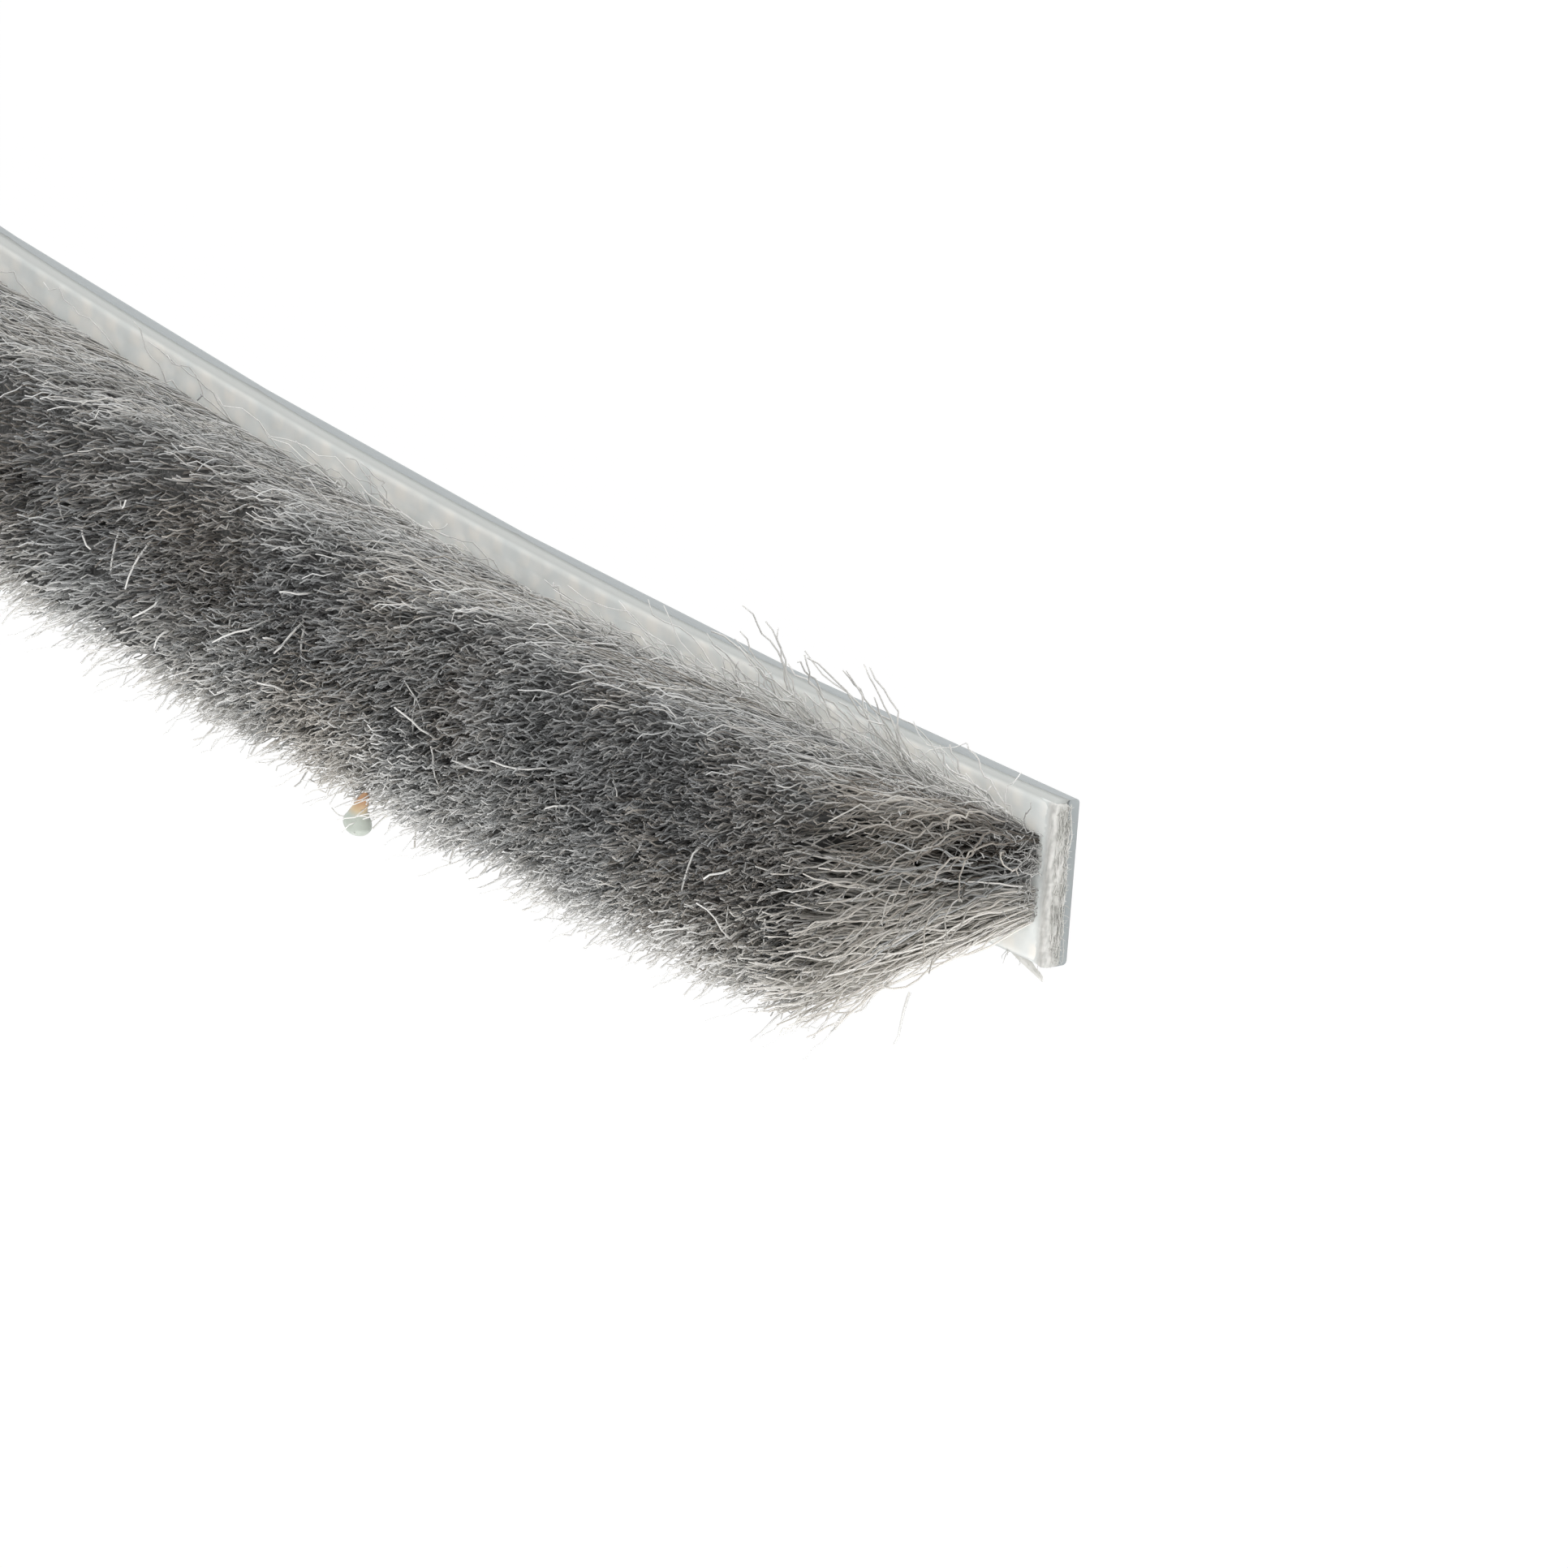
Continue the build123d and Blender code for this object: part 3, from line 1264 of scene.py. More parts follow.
@dataclass(frozen=True)
class PileCore:
    """The mass of yarn inside each row, dark with painted shade, which closes the view between the tips.

    Beyond the dense pile, it is nearly as full as the row itself.
    """

    roots: tuple = (0.10, 0.87)
    top: float = 0.925
    far_roots: tuple = (0.02, 0.95)
    far_top: float = 0.965
    far_reach: float = 82 * MM
    back_from_end: float = 4.6 * MM
    fine_reach: float = 84 * MM
    fine_step: float = 0.6 * MM
    coarse_step: float = 2.4 * MM
    ripple: float = 0.5 * MM
    ripples: float = 0.9 / MM
    inner_steps: int = 3
    crown_steps: int = 7
    outer_steps: int = 5

    def build(self) -> list[bpy.types.Object]:
        """Builds one closed mass for each row.

        Returns:
            The two masses.
        """
        far_end = LINE.length - self.back_from_end
        reaches = steps_between(
            self.back_from_end, self.fine_reach, far_end, self.fine_step, self.coarse_step
        )
        made = []
        for name, side in (("pile_core_left", 1), ("pile_core_right", -1)):
            mesh = skin(name, [self.ring(reach, side) for reach in reaches])
            made.append(finished(name, mesh, DeepPileFinish().material()))
        return made

    def ring(self, reach: float, side: int) -> list[Vector]:
        """The section of one row's mass, rippled by the yarn.

        Args:
            reach: distance back from the cut end.
            side: 1 for the row at +Y, -1 for the row at -Y.

        Returns:
            The section's points.
        """
        far = reach > self.far_reach
        low, high = self.far_roots if far else self.roots
        top = self.far_top if far else self.top
        spots = [(low, top * n / self.inner_steps) for n in range(self.inner_steps)]
        crown = range(self.crown_steps + 1)
        spots += [(low + (high - low) * n / self.crown_steps, top) for n in crown]
        outer = range(1, self.outer_steps + 1)
        spots += [(high, top * (1 - n / self.outer_steps)) for n in outer]
        points = []
        for root, along in spots:
            across, height = PILE.point(root, along)
            swell = noise.noise(Vector((reach, side * across, height)) * self.ripples)
            swell *= along * self.ripple
            lift = swell if along == top else 0.0
            out = swell * 0.5 if root == high else 0.0
            points.append(LINE.place(reach, side * (across + out), height + lift))
        return points


@dataclass(frozen=True)
class WovenTape:
    """The woven ground tape, with raised loops in two rows on each bare flange."""

    width: float = 6.902 * MM
    bottom: float = 0.7 * MM
    thickness: float = 0.5 * MM
    edge: float = 0.2 * MM
    lap: float = 0.21 * MM
    bare_from: float = 1.8 * MM
    bare_steps: int = 7
    pitch: float = 1.7 * MM
    loops_per_tile: int = 10
    inner_loops: float = 2.2 * MM
    outer_loops: float = 2.95 * MM
    loop_width: float = 0.34 * MM
    relief: float = 0.02 * MM
    ripple: float = 0.012 * MM
    ripples: float = 1.3 / MM
    fine_reach: float = 85 * MM

    @property
    def top(self) -> float:
        """Height of the top above the strip's underside."""
        return self.bottom + self.thickness

    @property
    def tile(self) -> float:
        """Length along the tape after which its map repeats."""
        return self.pitch * self.loops_per_tile

    @property
    def girth(self) -> float:
        """Width that the map gives to the top and the underside together."""
        return 2 * (self.width + self.thickness)

    @property
    def loop_rows(self) -> tuple[tuple[float, float], ...]:
        """Each row of loops: how far out it lies, and its phase."""
        return (self.inner_loops, 0.0), (self.outer_loops, 0.5)

    def section(self) -> list[tuple[float, float]]:
        """The points round the tape, from the -Y end of the top and back below.

        Returns:
            Across and height of each point.
        """
        half, edge, low = self.width / 2, self.edge, self.bottom - self.lap
        bare = half - edge - self.bare_from
        flange = [half - edge - bare * n / self.bare_steps for n in range(self.bare_steps + 1)]
        rounded = half - edge * 0.3, self.top - edge * 0.3
        spots = [(-half, self.top - edge), (-rounded[0], rounded[1])]
        spots += [(-across, self.top) for across in flange]
        spots += [(0.0, self.top)]
        spots += [(across, self.top) for across in reversed(flange)]
        spots += [rounded, (half, self.top - edge), (half, low)]
        return spots + [(half - 2 * edge, self.bottom), (-half + 2 * edge, self.bottom), (-half, low)]

    def raised(self, reach: float, across: float) -> float:
        """How high the weave stands above the tape at a place on its top.

        Args:
            reach: distance back from the cut end.
            across: distance from the centre line.

        Returns:
            The height.
        """
        lift = 0.0
        for row, phase in self.loop_rows:
            off = (abs(across) - row) / self.loop_width
            wave = math.cos(2 * math.pi * (reach / self.pitch + phase))
            lift += max(0.0, wave) ** 0.7 * math.exp(-off * off)
        uneven = noise.noise(Vector((reach, across, 0.0)) * self.ripples)
        return lift * self.relief + uneven * self.ripple

    def ring(self, reach: float) -> list[Vector]:
        """The tape's section, with its weave in relief near the cut end.

        Args:
            reach: distance back from the cut end.

        Returns:
            The section's points.
        """
        points = []
        for across, height in self.section():
            woven = reach < self.fine_reach and math.isclose(height, self.top)
            lift = self.raised(reach, across) if woven else 0.0
            points.append(LINE.place(reach, across, height + lift))
        return points

    def build(self) -> bpy.types.Object:
        """Builds the tape as one closed mesh with its map.

        Returns:
            The object.
        """
        reaches = steps_between(0.0, self.fine_reach, LINE.length, self.pitch / 6, self.pitch * 2)
        mesh = skin("woven_tape", [self.ring(reach) for reach in reaches])
        self.lay_map(mesh, reaches)
        over = self.bottom + 0.01 * MM
        mesh.polygons.foreach_set("use_smooth", [face.center.z > over for face in mesh.polygons])
        mesh.materials.append(TapeFinish().material(self))
        return add_object("woven_tape", mesh)

    def lay_map(self, mesh: bpy.types.Mesh, reaches: list[float]) -> None:
        """Lays the map: u round the tape, v along it in tiles.

        Args:
            mesh: the tape's mesh, ring after ring.
            reaches: the reach of each ring.
        """
        section = self.section()
        layer = mesh.uv_layers.new(name=FIBRE_MAP)
        count = len(section)
        middle = self.girth / 4
        around = []
        for n, (across, height) in enumerate(section):
            below = height < self.bottom + self.thickness / 2
            around.append((3 * middle - across if below else middle + across) / self.girth)
        for face in mesh.polygons:
            corners = [mesh.loops[i].vertex_index for i in face.loop_indices]
            rings = {corner // count for corner in corners}
            wraps = {0, count - 1} <= {corner % count for corner in corners}
            for i, corner in zip(face.loop_indices, corners):
                ring, n = divmod(corner, count)
                u = around[n] + (1.0 if wraps and n == 0 else 0.0)
                v = reaches[ring] / self.tile
                if len(rings) == 1:
                    v += (section[n][1] - self.bottom) / self.tile
                layer.data[i].uv = (u, v)

    def dress(self) -> None:
        """Builds the tape and lets it stand for the plain solid."""
        settle(self.build(), Slot.TAPE, Solid.TAPE)


@dataclass
class Pile:
    """All the yarn of the strip: fine by the cut end that shows, coarser beyond."""

    finish: bpy.types.Material
    dense_reach: float = 80 * MM
    end_depth: float = 3.6 * MM
    pieces: list = field(default_factory=list)

    def dense_tips(self) -> list[FibreField]:
        """The dense fibres that show their tips, finest by the cut end.

        Returns:
            One field after another along the strip.
        """
        stops = [self.end_depth, 17 * MM, 29.5 * MM, 43 * MM, self.dense_reach]
        spacings = [0.097 * MM, 0.097 * MM, 0.101 * MM, 0.132 * MM]
        made = []
        for n, spacing in enumerate(spacings):
            # Painted shade: the tips take a deep shade for the dark tip face, deepest in the first field by
            # the cut end
            shade = 0.198 if n == 0 else 0.238
            rings = 4 if n < 3 else 3
            made.append(
                FibreField(
                    f"pile_tips_{n + 1}", stops[n], stops[n + 1], outer=0.88, start=0.90, spacing=spacing,
                    rings=rings, shade=shade, seed=n + 10,
                )
            )
        return made

    def flanks(self) -> list[FibreField]:
        """The fibres of the flanks, and the short ends that stand out of their tops.

        Returns:
            The fields.
        """
        dense, end = self.dense_reach, self.end_depth
        # Painted light: the flank fields take paler shades than the tips; painted shade: the -Y ends darken
        # towards their tips
        return [
            FibreField(
                "pile_flanks", end, dense, inner=0.88, spacing=0.18 * MM, thickness=0.072 * MM, rings=15,
                gather=1.3, wave=0.24 * MM, crimp=0.12 * MM, curl=0.20, length_scatter=0.14,
                lean_scatter=0.24, wild_share=0.0, shade=0.40, bundle_pull=0.5, seed=30,
            ),
            FibreField(
                "pile_flank_ends_left", end, dense, inner=0.84, outer=0.95, row=1.0, spacing=0.112 * MM,
                thickness=0.075 * MM, rings=5, start=0.78, shortened=0.66, flare=0.45 * MM, gather=1.2,
                wave=0.14 * MM, crimp=0.15 * MM, lean_scatter=0.24, shade=0.36, bundle_pull=0.3, seed=35,
            ),
            FibreField(
                "pile_flank_ends_right", end, dense, inner=0.84, outer=0.95, row=-1.0, spacing=0.15 * MM,
                thickness=0.14 * MM, rings=6, start=0.74, shortened=0.60, flare=0.95 * MM, gather=1.2,
                wave=0.14 * MM, crimp=0.10 * MM, lean_scatter=0.22, flank_lean=0.05, shade=0.42,
                bundle=0.7 * MM, bundle_pull=0.6, tip_shade=-0.08, seed=36,
            ),
        ]

    def cut_ends(self) -> list[FibreField]:
        """The whole fibres that show at the cut end, splayed, one field for each row.

        Returns:
            The fields.
        """
        start = 0.8 * MM
        shared = {"rings": 20, "gather": 1.0, "bundle": 0.8 * MM, "bundle_pull": 0.5, "depth_shade": 0.0}
        # Painted light and shade: the -Y row is paler and the +Y row darker, its flank darker still, and
        # both darken towards their tips
        return [
            FibreField(
                "pile_cut_right", start, self.end_depth, row=-1.0, spacing=0.126 * MM,
                thickness=0.090 * MM, end_splay=-0.31, end_scatter=0.08, lean_scatter=0.11,
                crimp=0.055 * MM, wave=0.30 * MM, curl=0.22, flank_lean=-0.17, wild_share=0.01,
                bundle_length=0.06, shade=0.76, shade_scatter=0.09, painted_clump_shade=0.12, flank_shade=0.08,
                tip_shade=-0.18, warmth=0.6, seed=40, **shared,
            ),
            FibreField(
                "pile_cut_left", start, self.end_depth, row=1.0, spacing=0.12 * MM,
                thickness=0.078 * MM, end_splay=-0.18, end_scatter=0.18, hollow=2.4 * MM,
                lean_scatter=0.18, shortened=0.32, crimp=0.085 * MM, wave=0.24 * MM, curl=0.30,
                flank_lean=-0.05, wild_share=0.05, bundle_length=0.08, shade=0.56, shade_scatter=0.16,
                painted_clump_shade=0.15, flank_shade=-0.06, tip_shade=-0.2, warmth=0.25, seed=45, **shared,
            ),
        ]

    def far_pile(self) -> list[FibreField]:
        """The coarser yarn beyond what the photograph shows, up to the far end.

        Returns:
            The fields.
        """
        dense, far = self.dense_reach, LINE.length - 5 * MM
        return [
            FibreField(
                "pile_far_tips", dense, far, outer=0.90, start=0.84, spacing=0.53 * MM,
                thickness=0.42 * MM, rings=2, length_scatter=0.05, wave=0.0, bundle=1.6 * MM, seed=50,
            ),
            FibreField(
                "pile_far_flanks", dense, far, inner=0.84, spacing=0.44 * MM, thickness=0.28 * MM,
                rings=3, gather=1.0, crimp=0.05 * MM, wave=0.0, bundle=1.6 * MM, seed=60,
            ),
            FibreField(
                "pile_far_end", far, LINE.length - 0.8 * MM, spacing=0.24 * MM, thickness=0.13 * MM,
                rings=7, gather=1.0, end_at=LINE.length, end_splay=0.12, end_scatter=0.12, shade=0.55,
                flank_shade=0.0, depth_shade=0.0, seed=70,
            ),
        ]

    def build(self, tree: bpy.types.NodeTree) -> None:
        """Grows every field of fibres, the strays and the mass below the tips.

        Args:
            tree: the fibre tree.
        """
        grown = [*self.dense_tips(), *self.flanks(), *self.cut_ends(), *self.far_pile()]
        self.pieces = [item.build(tree, self.finish) for item in grown]
        self.pieces.append(Strays(self.dense_reach).build(self.finish))
        self.pieces.extend(PileCore().build())

    def dress(self) -> None:
        """Rides the pieces on the strip and lets them stand for the solid rows."""
        for piece in self.pieces:
            settle(piece, Slot.YARN, Solid.LEFT_ROW, Solid.RIGHT_ROW)


class Bunch(NamedTuple):
    """A bunch of long loose fibres: where it stands, how many they are and their lean."""

    reach: float
    count: int
    lean: float


@dataclass
class Strays:
    """Loose fibres that stand out of the flanks, curl at the roots and lie over the tips."""

    dense_reach: float
    seed: int = 7
    bunches: tuple = (
        Bunch(15.0 * MM, 6, 0.92),
        Bunch(12.0 * MM, 5, 0.75),
        Bunch(9.2 * MM, 4, 0.90),
        Bunch(7.0 * MM, 5, 0.88),
        Bunch(3.0 * MM, 4, 0.80),
    )
    short_reach: float = 5.0 * MM
    short_length: float = 4.5 * MM
    sparse_count: int = 12
    low_count: int = 130
    upright_count: int = 170
    root_count: int = 260
    belly_count: int = 300
    crossing_count: int = 13
    tip_count: int = 70
    bunched: Strand = Strand(12, 0.28, 0.105 * MM, (0.75, 0.95))
    sparse: Strand = Strand(10, 0.25, 0.07 * MM, (0.85, 0.95))
    low: Strand = Strand(9, 0.28, 0.07 * MM)
    upright: Strand = Strand(9, 0.25, 0.07 * MM)
    root_curl: Strand = Strand(9, 0.45, 0.05 * MM, (0.40, 0.75))
    # Painted shade: the belly curls take deep shades, for the shaded outer half of the +Y row at the cut
    # end
    belly_curl: Strand = Strand(6, 0.5, 0.06 * MM, (0.25, 0.60))
    crossing: Strand = Strand(14, 0.16, 0.085 * MM, (0.6, 0.85))
    tip_bit: Strand = Strand(5, 0.12, 0.11 * MM, (0.75, 0.95))

    def __post_init__(self) -> None:
        """Starts the mesh that every fibre goes into."""
        self.threads = Threads("pile_strays", self.seed)
        self.rng = self.threads.rng

    def build(self, material: bpy.types.Material) -> bpy.types.Object:
        """Adds each kind of fibre in turn.

        Args:
            material: the yarn's material.

        Returns:
            The strays as one object.
        """
        self.add_bunches()
        kinds = (
            (self.sparse_count, self.add_sparse),
            (self.low_count, self.add_low),
            (self.upright_count, self.add_upright),
            (self.root_count, self.add_root_curl),
            (self.belly_count, self.add_belly_curl),
            (self.crossing_count, self.add_crossing),
            (self.tip_count, self.add_tip_bit),
        )
        for count, add in kinds:
            for _ in range(count):
                add()
        return self.threads.build(material)

    def add_bunches(self) -> None:
        """Adds the bunches that lean far out of the +Y flank, shorter at the cut end."""
        rng = self.rng
        for bunch in self.bunches:
            for _ in range(bunch.count):
                foot = bunch.reach + rng.gauss(0, 0.9) * MM, PILE.foot(1.0), PILE.base
                heading = bunch.lean * rng.uniform(0.8, 1.1), rng.uniform(-0.45, 0.25)
                bend = rng.uniform(-0.3, 0.3), rng.uniform(-0.8, 0.8)
                short = bunch.reach < self.short_reach
                length = self.short_length if short else PILE.length * rng.uniform(0.5, 0.72)
                self.threads.loose(self.bunched, foot, heading, bend, length)

    def add_sparse(self) -> None:
        """Adds one of the few single fibres that lean out farther back."""
        foot = self.rng.uniform(24, 70) * MM, PILE.foot(1.0), PILE.base
        heading = 0.55, self.rng.gauss(-0.1, 0.3)
        self.threads.loose(self.sparse, foot, heading, (0.1, 0.2), PILE.length * 0.55)

    def add_low(self) -> None:
        """Adds a short fibre that leans out low on the +Y flank."""
        rng = self.rng
        foot = rng.uniform(1.5, 22.0) * MM, PILE.foot(1.0), PILE.base
        heading = rng.uniform(0.40, 0.68), rng.gauss(-0.1, 0.4)
        bend = rng.uniform(-0.2, 0.3), rng.gauss(0, 0.8)
        self.threads.loose(self.low, foot, heading, bend, PILE.length * rng.uniform(0.2, 0.55))

    def add_upright(self) -> None:
        """Adds a fibre that stands nearly upright off either flank."""
        rng = self.rng
        side = rng.choice((1, 1, -1))
        reach = rng.uniform(1.0 * MM if side > 0 else 5.0 * MM, 0.6 * self.dense_reach)
        foot = reach, side * PILE.foot(1.0), PILE.base
        out = rng.uniform(0.26, 0.38) if side > 0 else rng.uniform(0.22, 0.31)
        heading = out, rng.gauss(0, 0.4)
        bend = rng.uniform(-0.15, 0.15), rng.gauss(0, 0.8)
        self.threads.loose(self.upright, foot, heading, bend, PILE.length * rng.uniform(0.3, 0.8))

    def add_root_curl(self) -> None:
        """Adds a curl of fluff at the roots of the cut end."""
        rng = self.rng
        side = rng.choice((1, -1))
        foot = rng.uniform(0.6, 2.4) * MM, side * PILE.foot(rng.uniform(0.0, 0.8)), PILE.base
        heading = min(0.2 + side * 0.1, rng.gauss(0.0, 0.3)), rng.gauss(-0.2, 0.35)
        bend = min(0.2 + side * 0.3, rng.gauss(-0.2, 0.9)), rng.gauss(-0.2, 0.9)
        length = (0.7 + rng.expovariate(1.3)) * MM
        self.threads.loose(self.root_curl, foot, heading, bend, length)

    def add_belly_curl(self) -> None:
        """Adds a curl on the outer half of the +Y row, by the cut end."""
        rng = self.rng
        root = rng.uniform(0.6, 1.0)
        along = rng.uniform(0.0, 0.6)
        foot = (rng.uniform(0.5, 2.2) + 2.5 * along) * MM, *PILE.point(root, along)
        heading = rng.gauss(0.1, 0.5), rng.gauss(-0.1, 0.7)
        bend = rng.gauss(0, 1.0), rng.gauss(0, 1.0)
        self.threads.loose(self.belly_curl, foot, heading, bend, rng.uniform(0.6, 1.8) * MM)

    def add_crossing(self) -> None:
        """Adds a fibre that crosses the cut end of the +Y row and bends back."""
        rng = self.rng
        across, lift = rng.uniform(0.0, 1.7) * MM, rng.uniform(0, 4.0) * MM
        foot = rng.uniform(0.9, 2.2) * MM, across, PILE.base + lift
        heading = rng.uniform(-0.7, 0.9), rng.uniform(-0.6, 0.0)
        bend = -heading[0] * rng.uniform(0.5, 1.8), rng.uniform(-0.8, 0.1)
        self.threads.loose(self.crossing, foot, heading, bend, rng.uniform(2.0, 4.6) * MM)

    def add_tip_bit(self) -> None:
        """Adds a loose bit that lies over the tips of either row."""
        rng = self.rng
        reach = rng.uniform(4.0 * MM, self.dense_reach)
        across, height = PILE.point(rng.uniform(0, 0.7), 0.97)
        foot = reach, across * rng.choice((1, -1)), height - 0.1 * MM
        heading = rng.uniform(-1.5, 0.3), rng.uniform(-1.4, 1.4)
        bend = rng.gauss(0, 0.6), rng.gauss(0, 0.6)
        self.threads.loose(self.tip_bit, foot, heading, bend, rng.uniform(0.8, 3.0) * MM)


@dataclass(frozen=True)
class CutEnd:
    """The torn cut through the tape: a soft lip of cloth, frayed threads and a flake.

    The points of the lip's section are how far out of the cut and how high they lie.
    Sizes and places are in millimetres.
    """

    half_width: float = 3.36
    lip_top: tuple = ((-1.1, 1.14), (-0.75, 1.19), (-0.5, 1.215), (-0.22, 1.27), (0.0, 1.31))
    lip_front: tuple = ((0.13, 1.25), (0.22, 1.1), (0.24, 0.93), (0.20, 0.78))
    lip_under: tuple = ((0.12, 0.64), (0.04, 0.60), (-0.04, 0.75), (-0.4, 0.95))
    lip_free: float = -0.3
    lip_steps: int = 110
    weft_count: int = 110
    weft_steps: int = 12
    weft_end: float = 3.35
    fray_count: int = 200
    edge_hairs: int = 9
    edge_hair: Strand = Strand(5, 0.4, 0.045 * MM, taper=0.4)
    flake_steps: int = 12
    white_shade: float = 0.5
    seed: int = 3

    def build(self) -> list[bpy.types.Object]:
        """Builds the lip of cloth, the frayed threads and the torn flake.

        Returns:
            The three pieces.
        """
        # Painted shade: the torn cloth and the frayed threads are darker than the tape, against the light
        # that the lip catches as it faces out of the cut
        torn = (0.72, 0.72, 0.705), (0.82, 0.815, 0.80)
        cloth = PlainFinish("torn_cloth", *torn, mottle=6.0, drawn=0.3, joined=TapeFinish.dull)
        white = PlainFinish("frayed_white", (0.78, 0.78, 0.76), (0.88, 0.875, 0.86)).material()
        steps = range(self.lip_steps + 1)
        rings = [self.lip_ring(self.half_width * (2 * n / self.lip_steps - 1)) for n in steps]
        lip = finished("tape_lip", skin("tape_lip", rings), cloth.material())
        return [lip, self.fray(white), self.flake(white)]

    def lip_ring(self, across: float) -> list[Vector]:
        """The section of the cloth that the blade dragged down over the cut, ragged below.

        Args:
            across: distance from the centre line.

        Returns:
            The section's points.
        """
        shrink = min(1.0, (self.half_width - abs(across)) * 3.0 + 0.35)
        ring = []
        for spot, (out, height) in enumerate((*self.lip_top, *self.lip_front, *self.lip_under)):
            # The part that is free of the tape is torn the most, above all along its lower edge
            coarse = noise.noise(Vector((across * 1.6, spot * 0.35, 3.0)))
            fine = noise.noise(Vector((across * 6.0, spot * 0.8, 9.0)))
            if out > self.lip_free:
                out += (0.18 * coarse + 0.08 * fine) * shrink
            ragged = 0.26 if 0.5 < height < 0.8 else 0.07
            height += ragged * (coarse + 0.8 * fine) * (0.3 if out < self.lip_free else 1.0)
            ring.append(LINE.place(-out * MM, across * MM, height * MM))
        return ring

    def fray(self, finish: bpy.types.Material) -> bpy.types.Object:
        """Builds the threads along the lip, the ends that stick out and the hairs of the edge.

        Args:
            finish: the threads' material.

        Returns:
            The threads as one object.
        """
        threads = Threads("tape_fray", self.seed)
        rng = threads.rng
        for add, count in ((self.add_weft, self.weft_count), (self.add_end, self.fray_count)):
            for _ in range(count):
                add(threads)
        for _ in range(self.edge_hairs):
            foot = rng.uniform(0.0, 3.5) * MM, -3.3 * MM, rng.uniform(0.8, 1.15) * MM
            heading = rng.uniform(0.9, 2.0), rng.gauss(0.2, 1.0)
            hair = self.edge_hair
            path = threads.grow(hair, foot, heading, (0.2, 0.4), rng.uniform(0.3, 0.9) * MM)
            threads.add(path, hair.thickness, self.white_shade, hair.taper)
        return threads.build(finish)

    def add_weft(self, threads: Threads) -> None:
        """Adds a weft thread that lies along the lip in waves.

        Args:
            threads: the mesh that it goes into.
        """
        rng = threads.rng
        start = rng.uniform(-self.weft_end, 2.6)
        end = min(self.weft_end, start + rng.uniform(0.6, 2.6))
        height = rng.uniform(0.55, 1.25)
        out = rng.uniform(0.18, 0.30)
        swing, phase, pace = rng.uniform(0.02, 0.10), rng.uniform(0, 6.3), rng.uniform(1.5, 4.5)
        path = []
        for n in range(self.weft_steps + 1):
            across = start + (end - start) * n / self.weft_steps
            reach = -out - swing * math.sin(across * pace + phase) + rng.gauss(0, 0.02)
            lift = swing * 0.6 * math.sin(across * pace * 1.3 + phase * 2)
            path.append(LINE.place(reach * MM, across * MM, (height + lift) * MM))
        threads.add(path, rng.uniform(0.03, 0.06) * MM, self.white_shade, 0.5)

    def add_end(self, threads: Threads) -> None:
        """Adds a short end that sticks out of the lip.

        Args:
            threads: the mesh that it goes into.
        """
        rng = threads.rng
        reach, across, height = -0.1 * MM, rng.uniform(-3.3, 3.3) * MM, rng.uniform(0.55, 1.2) * MM
        path = [LINE.place(reach, across, height)]
        for _ in range(4):
            reach -= rng.uniform(0.02, 0.10) * MM
            across += rng.gauss(0, 0.06) * MM
            height += rng.gauss(-0.02, 0.05) * MM
            path.append(LINE.place(reach, across, height))
        threads.add(path, rng.uniform(0.03, 0.06) * MM, self.white_shade, 0.3)

    def flake(self, finish: bpy.types.Material) -> bpy.types.Object:
        """Builds the sliver of tape that hangs from the -Y corner, torn and thin.

        Args:
            finish: its material.

        Returns:
            The object.
        """
        rng = random.Random(self.seed + 1)
        rings = []
        for n in range(self.flake_steps + 1):
            share = n / self.flake_steps
            reach = (2.7 - 2.4 * share) * MM
            outer = -3.30 - 0.85 * share ** 1.3
            spread = math.sin(math.pi * min(1.0, 0.12 + share * 0.72))
            width = 0.44 * spread + rng.uniform(-0.05, 0.05)
            height = 0.98 + 0.10 * math.sin(share * 4.0)
            half = 0.035 + 0.01 * rng.random()
            middle = outer + width / 2
            inner = outer + width
            edges = (outer, height), (middle, height + half), (inner, height), (middle, height - half)
            rings.append([LINE.place(reach, across * MM, up * MM) for across, up in edges])
        return finished("tape_flake", skin("tape_flake", rings), finish, smooth=False)

    def dress(self) -> None:
        """Builds the pieces and makes them part of the strip."""
        for piece in self.build():
            settle(piece, Slot.TAPE)


@dataclass(frozen=True)
class CrumbFinish:
    """Waxy crumb, tan where it sits in the pile and pale grey-green at its round end."""

    name: str = "crumb_wax"
    tan: tuple = (0.70, 0.54, 0.40)
    straw: tuple = (0.78, 0.70, 0.57)
    pale: tuple = (0.70, 0.725, 0.69)
    roughness: float = 0.45

    def material(self, low: float, high: float) -> bpy.types.Material:
        """Builds the material, which changes from tan to pale with Y.

        Args:
            low: Y of the round end.
            high: Y of the end in the pile.

        Returns:
            The material.
        """
        surface = Surface(self.name)
        graph = surface.graph
        _, y, _ = graph.split(graph.place())
        stops = [(0.0, self.pale), (0.42, self.pale), (0.62, self.straw), (0.9, self.tan)]
        colour = graph.ramp(graph.smooth(y, low, high), stops)
        return surface.dressed({"Base Color": colour, "Roughness": self.roughness})


class YarnLoop(NamedTuple):
    """An open loop of yarn: its middle, its half sizes and the angles that it spans."""

    reach: float
    across: float
    along_size: float
    across_size: float
    start: float
    end: float


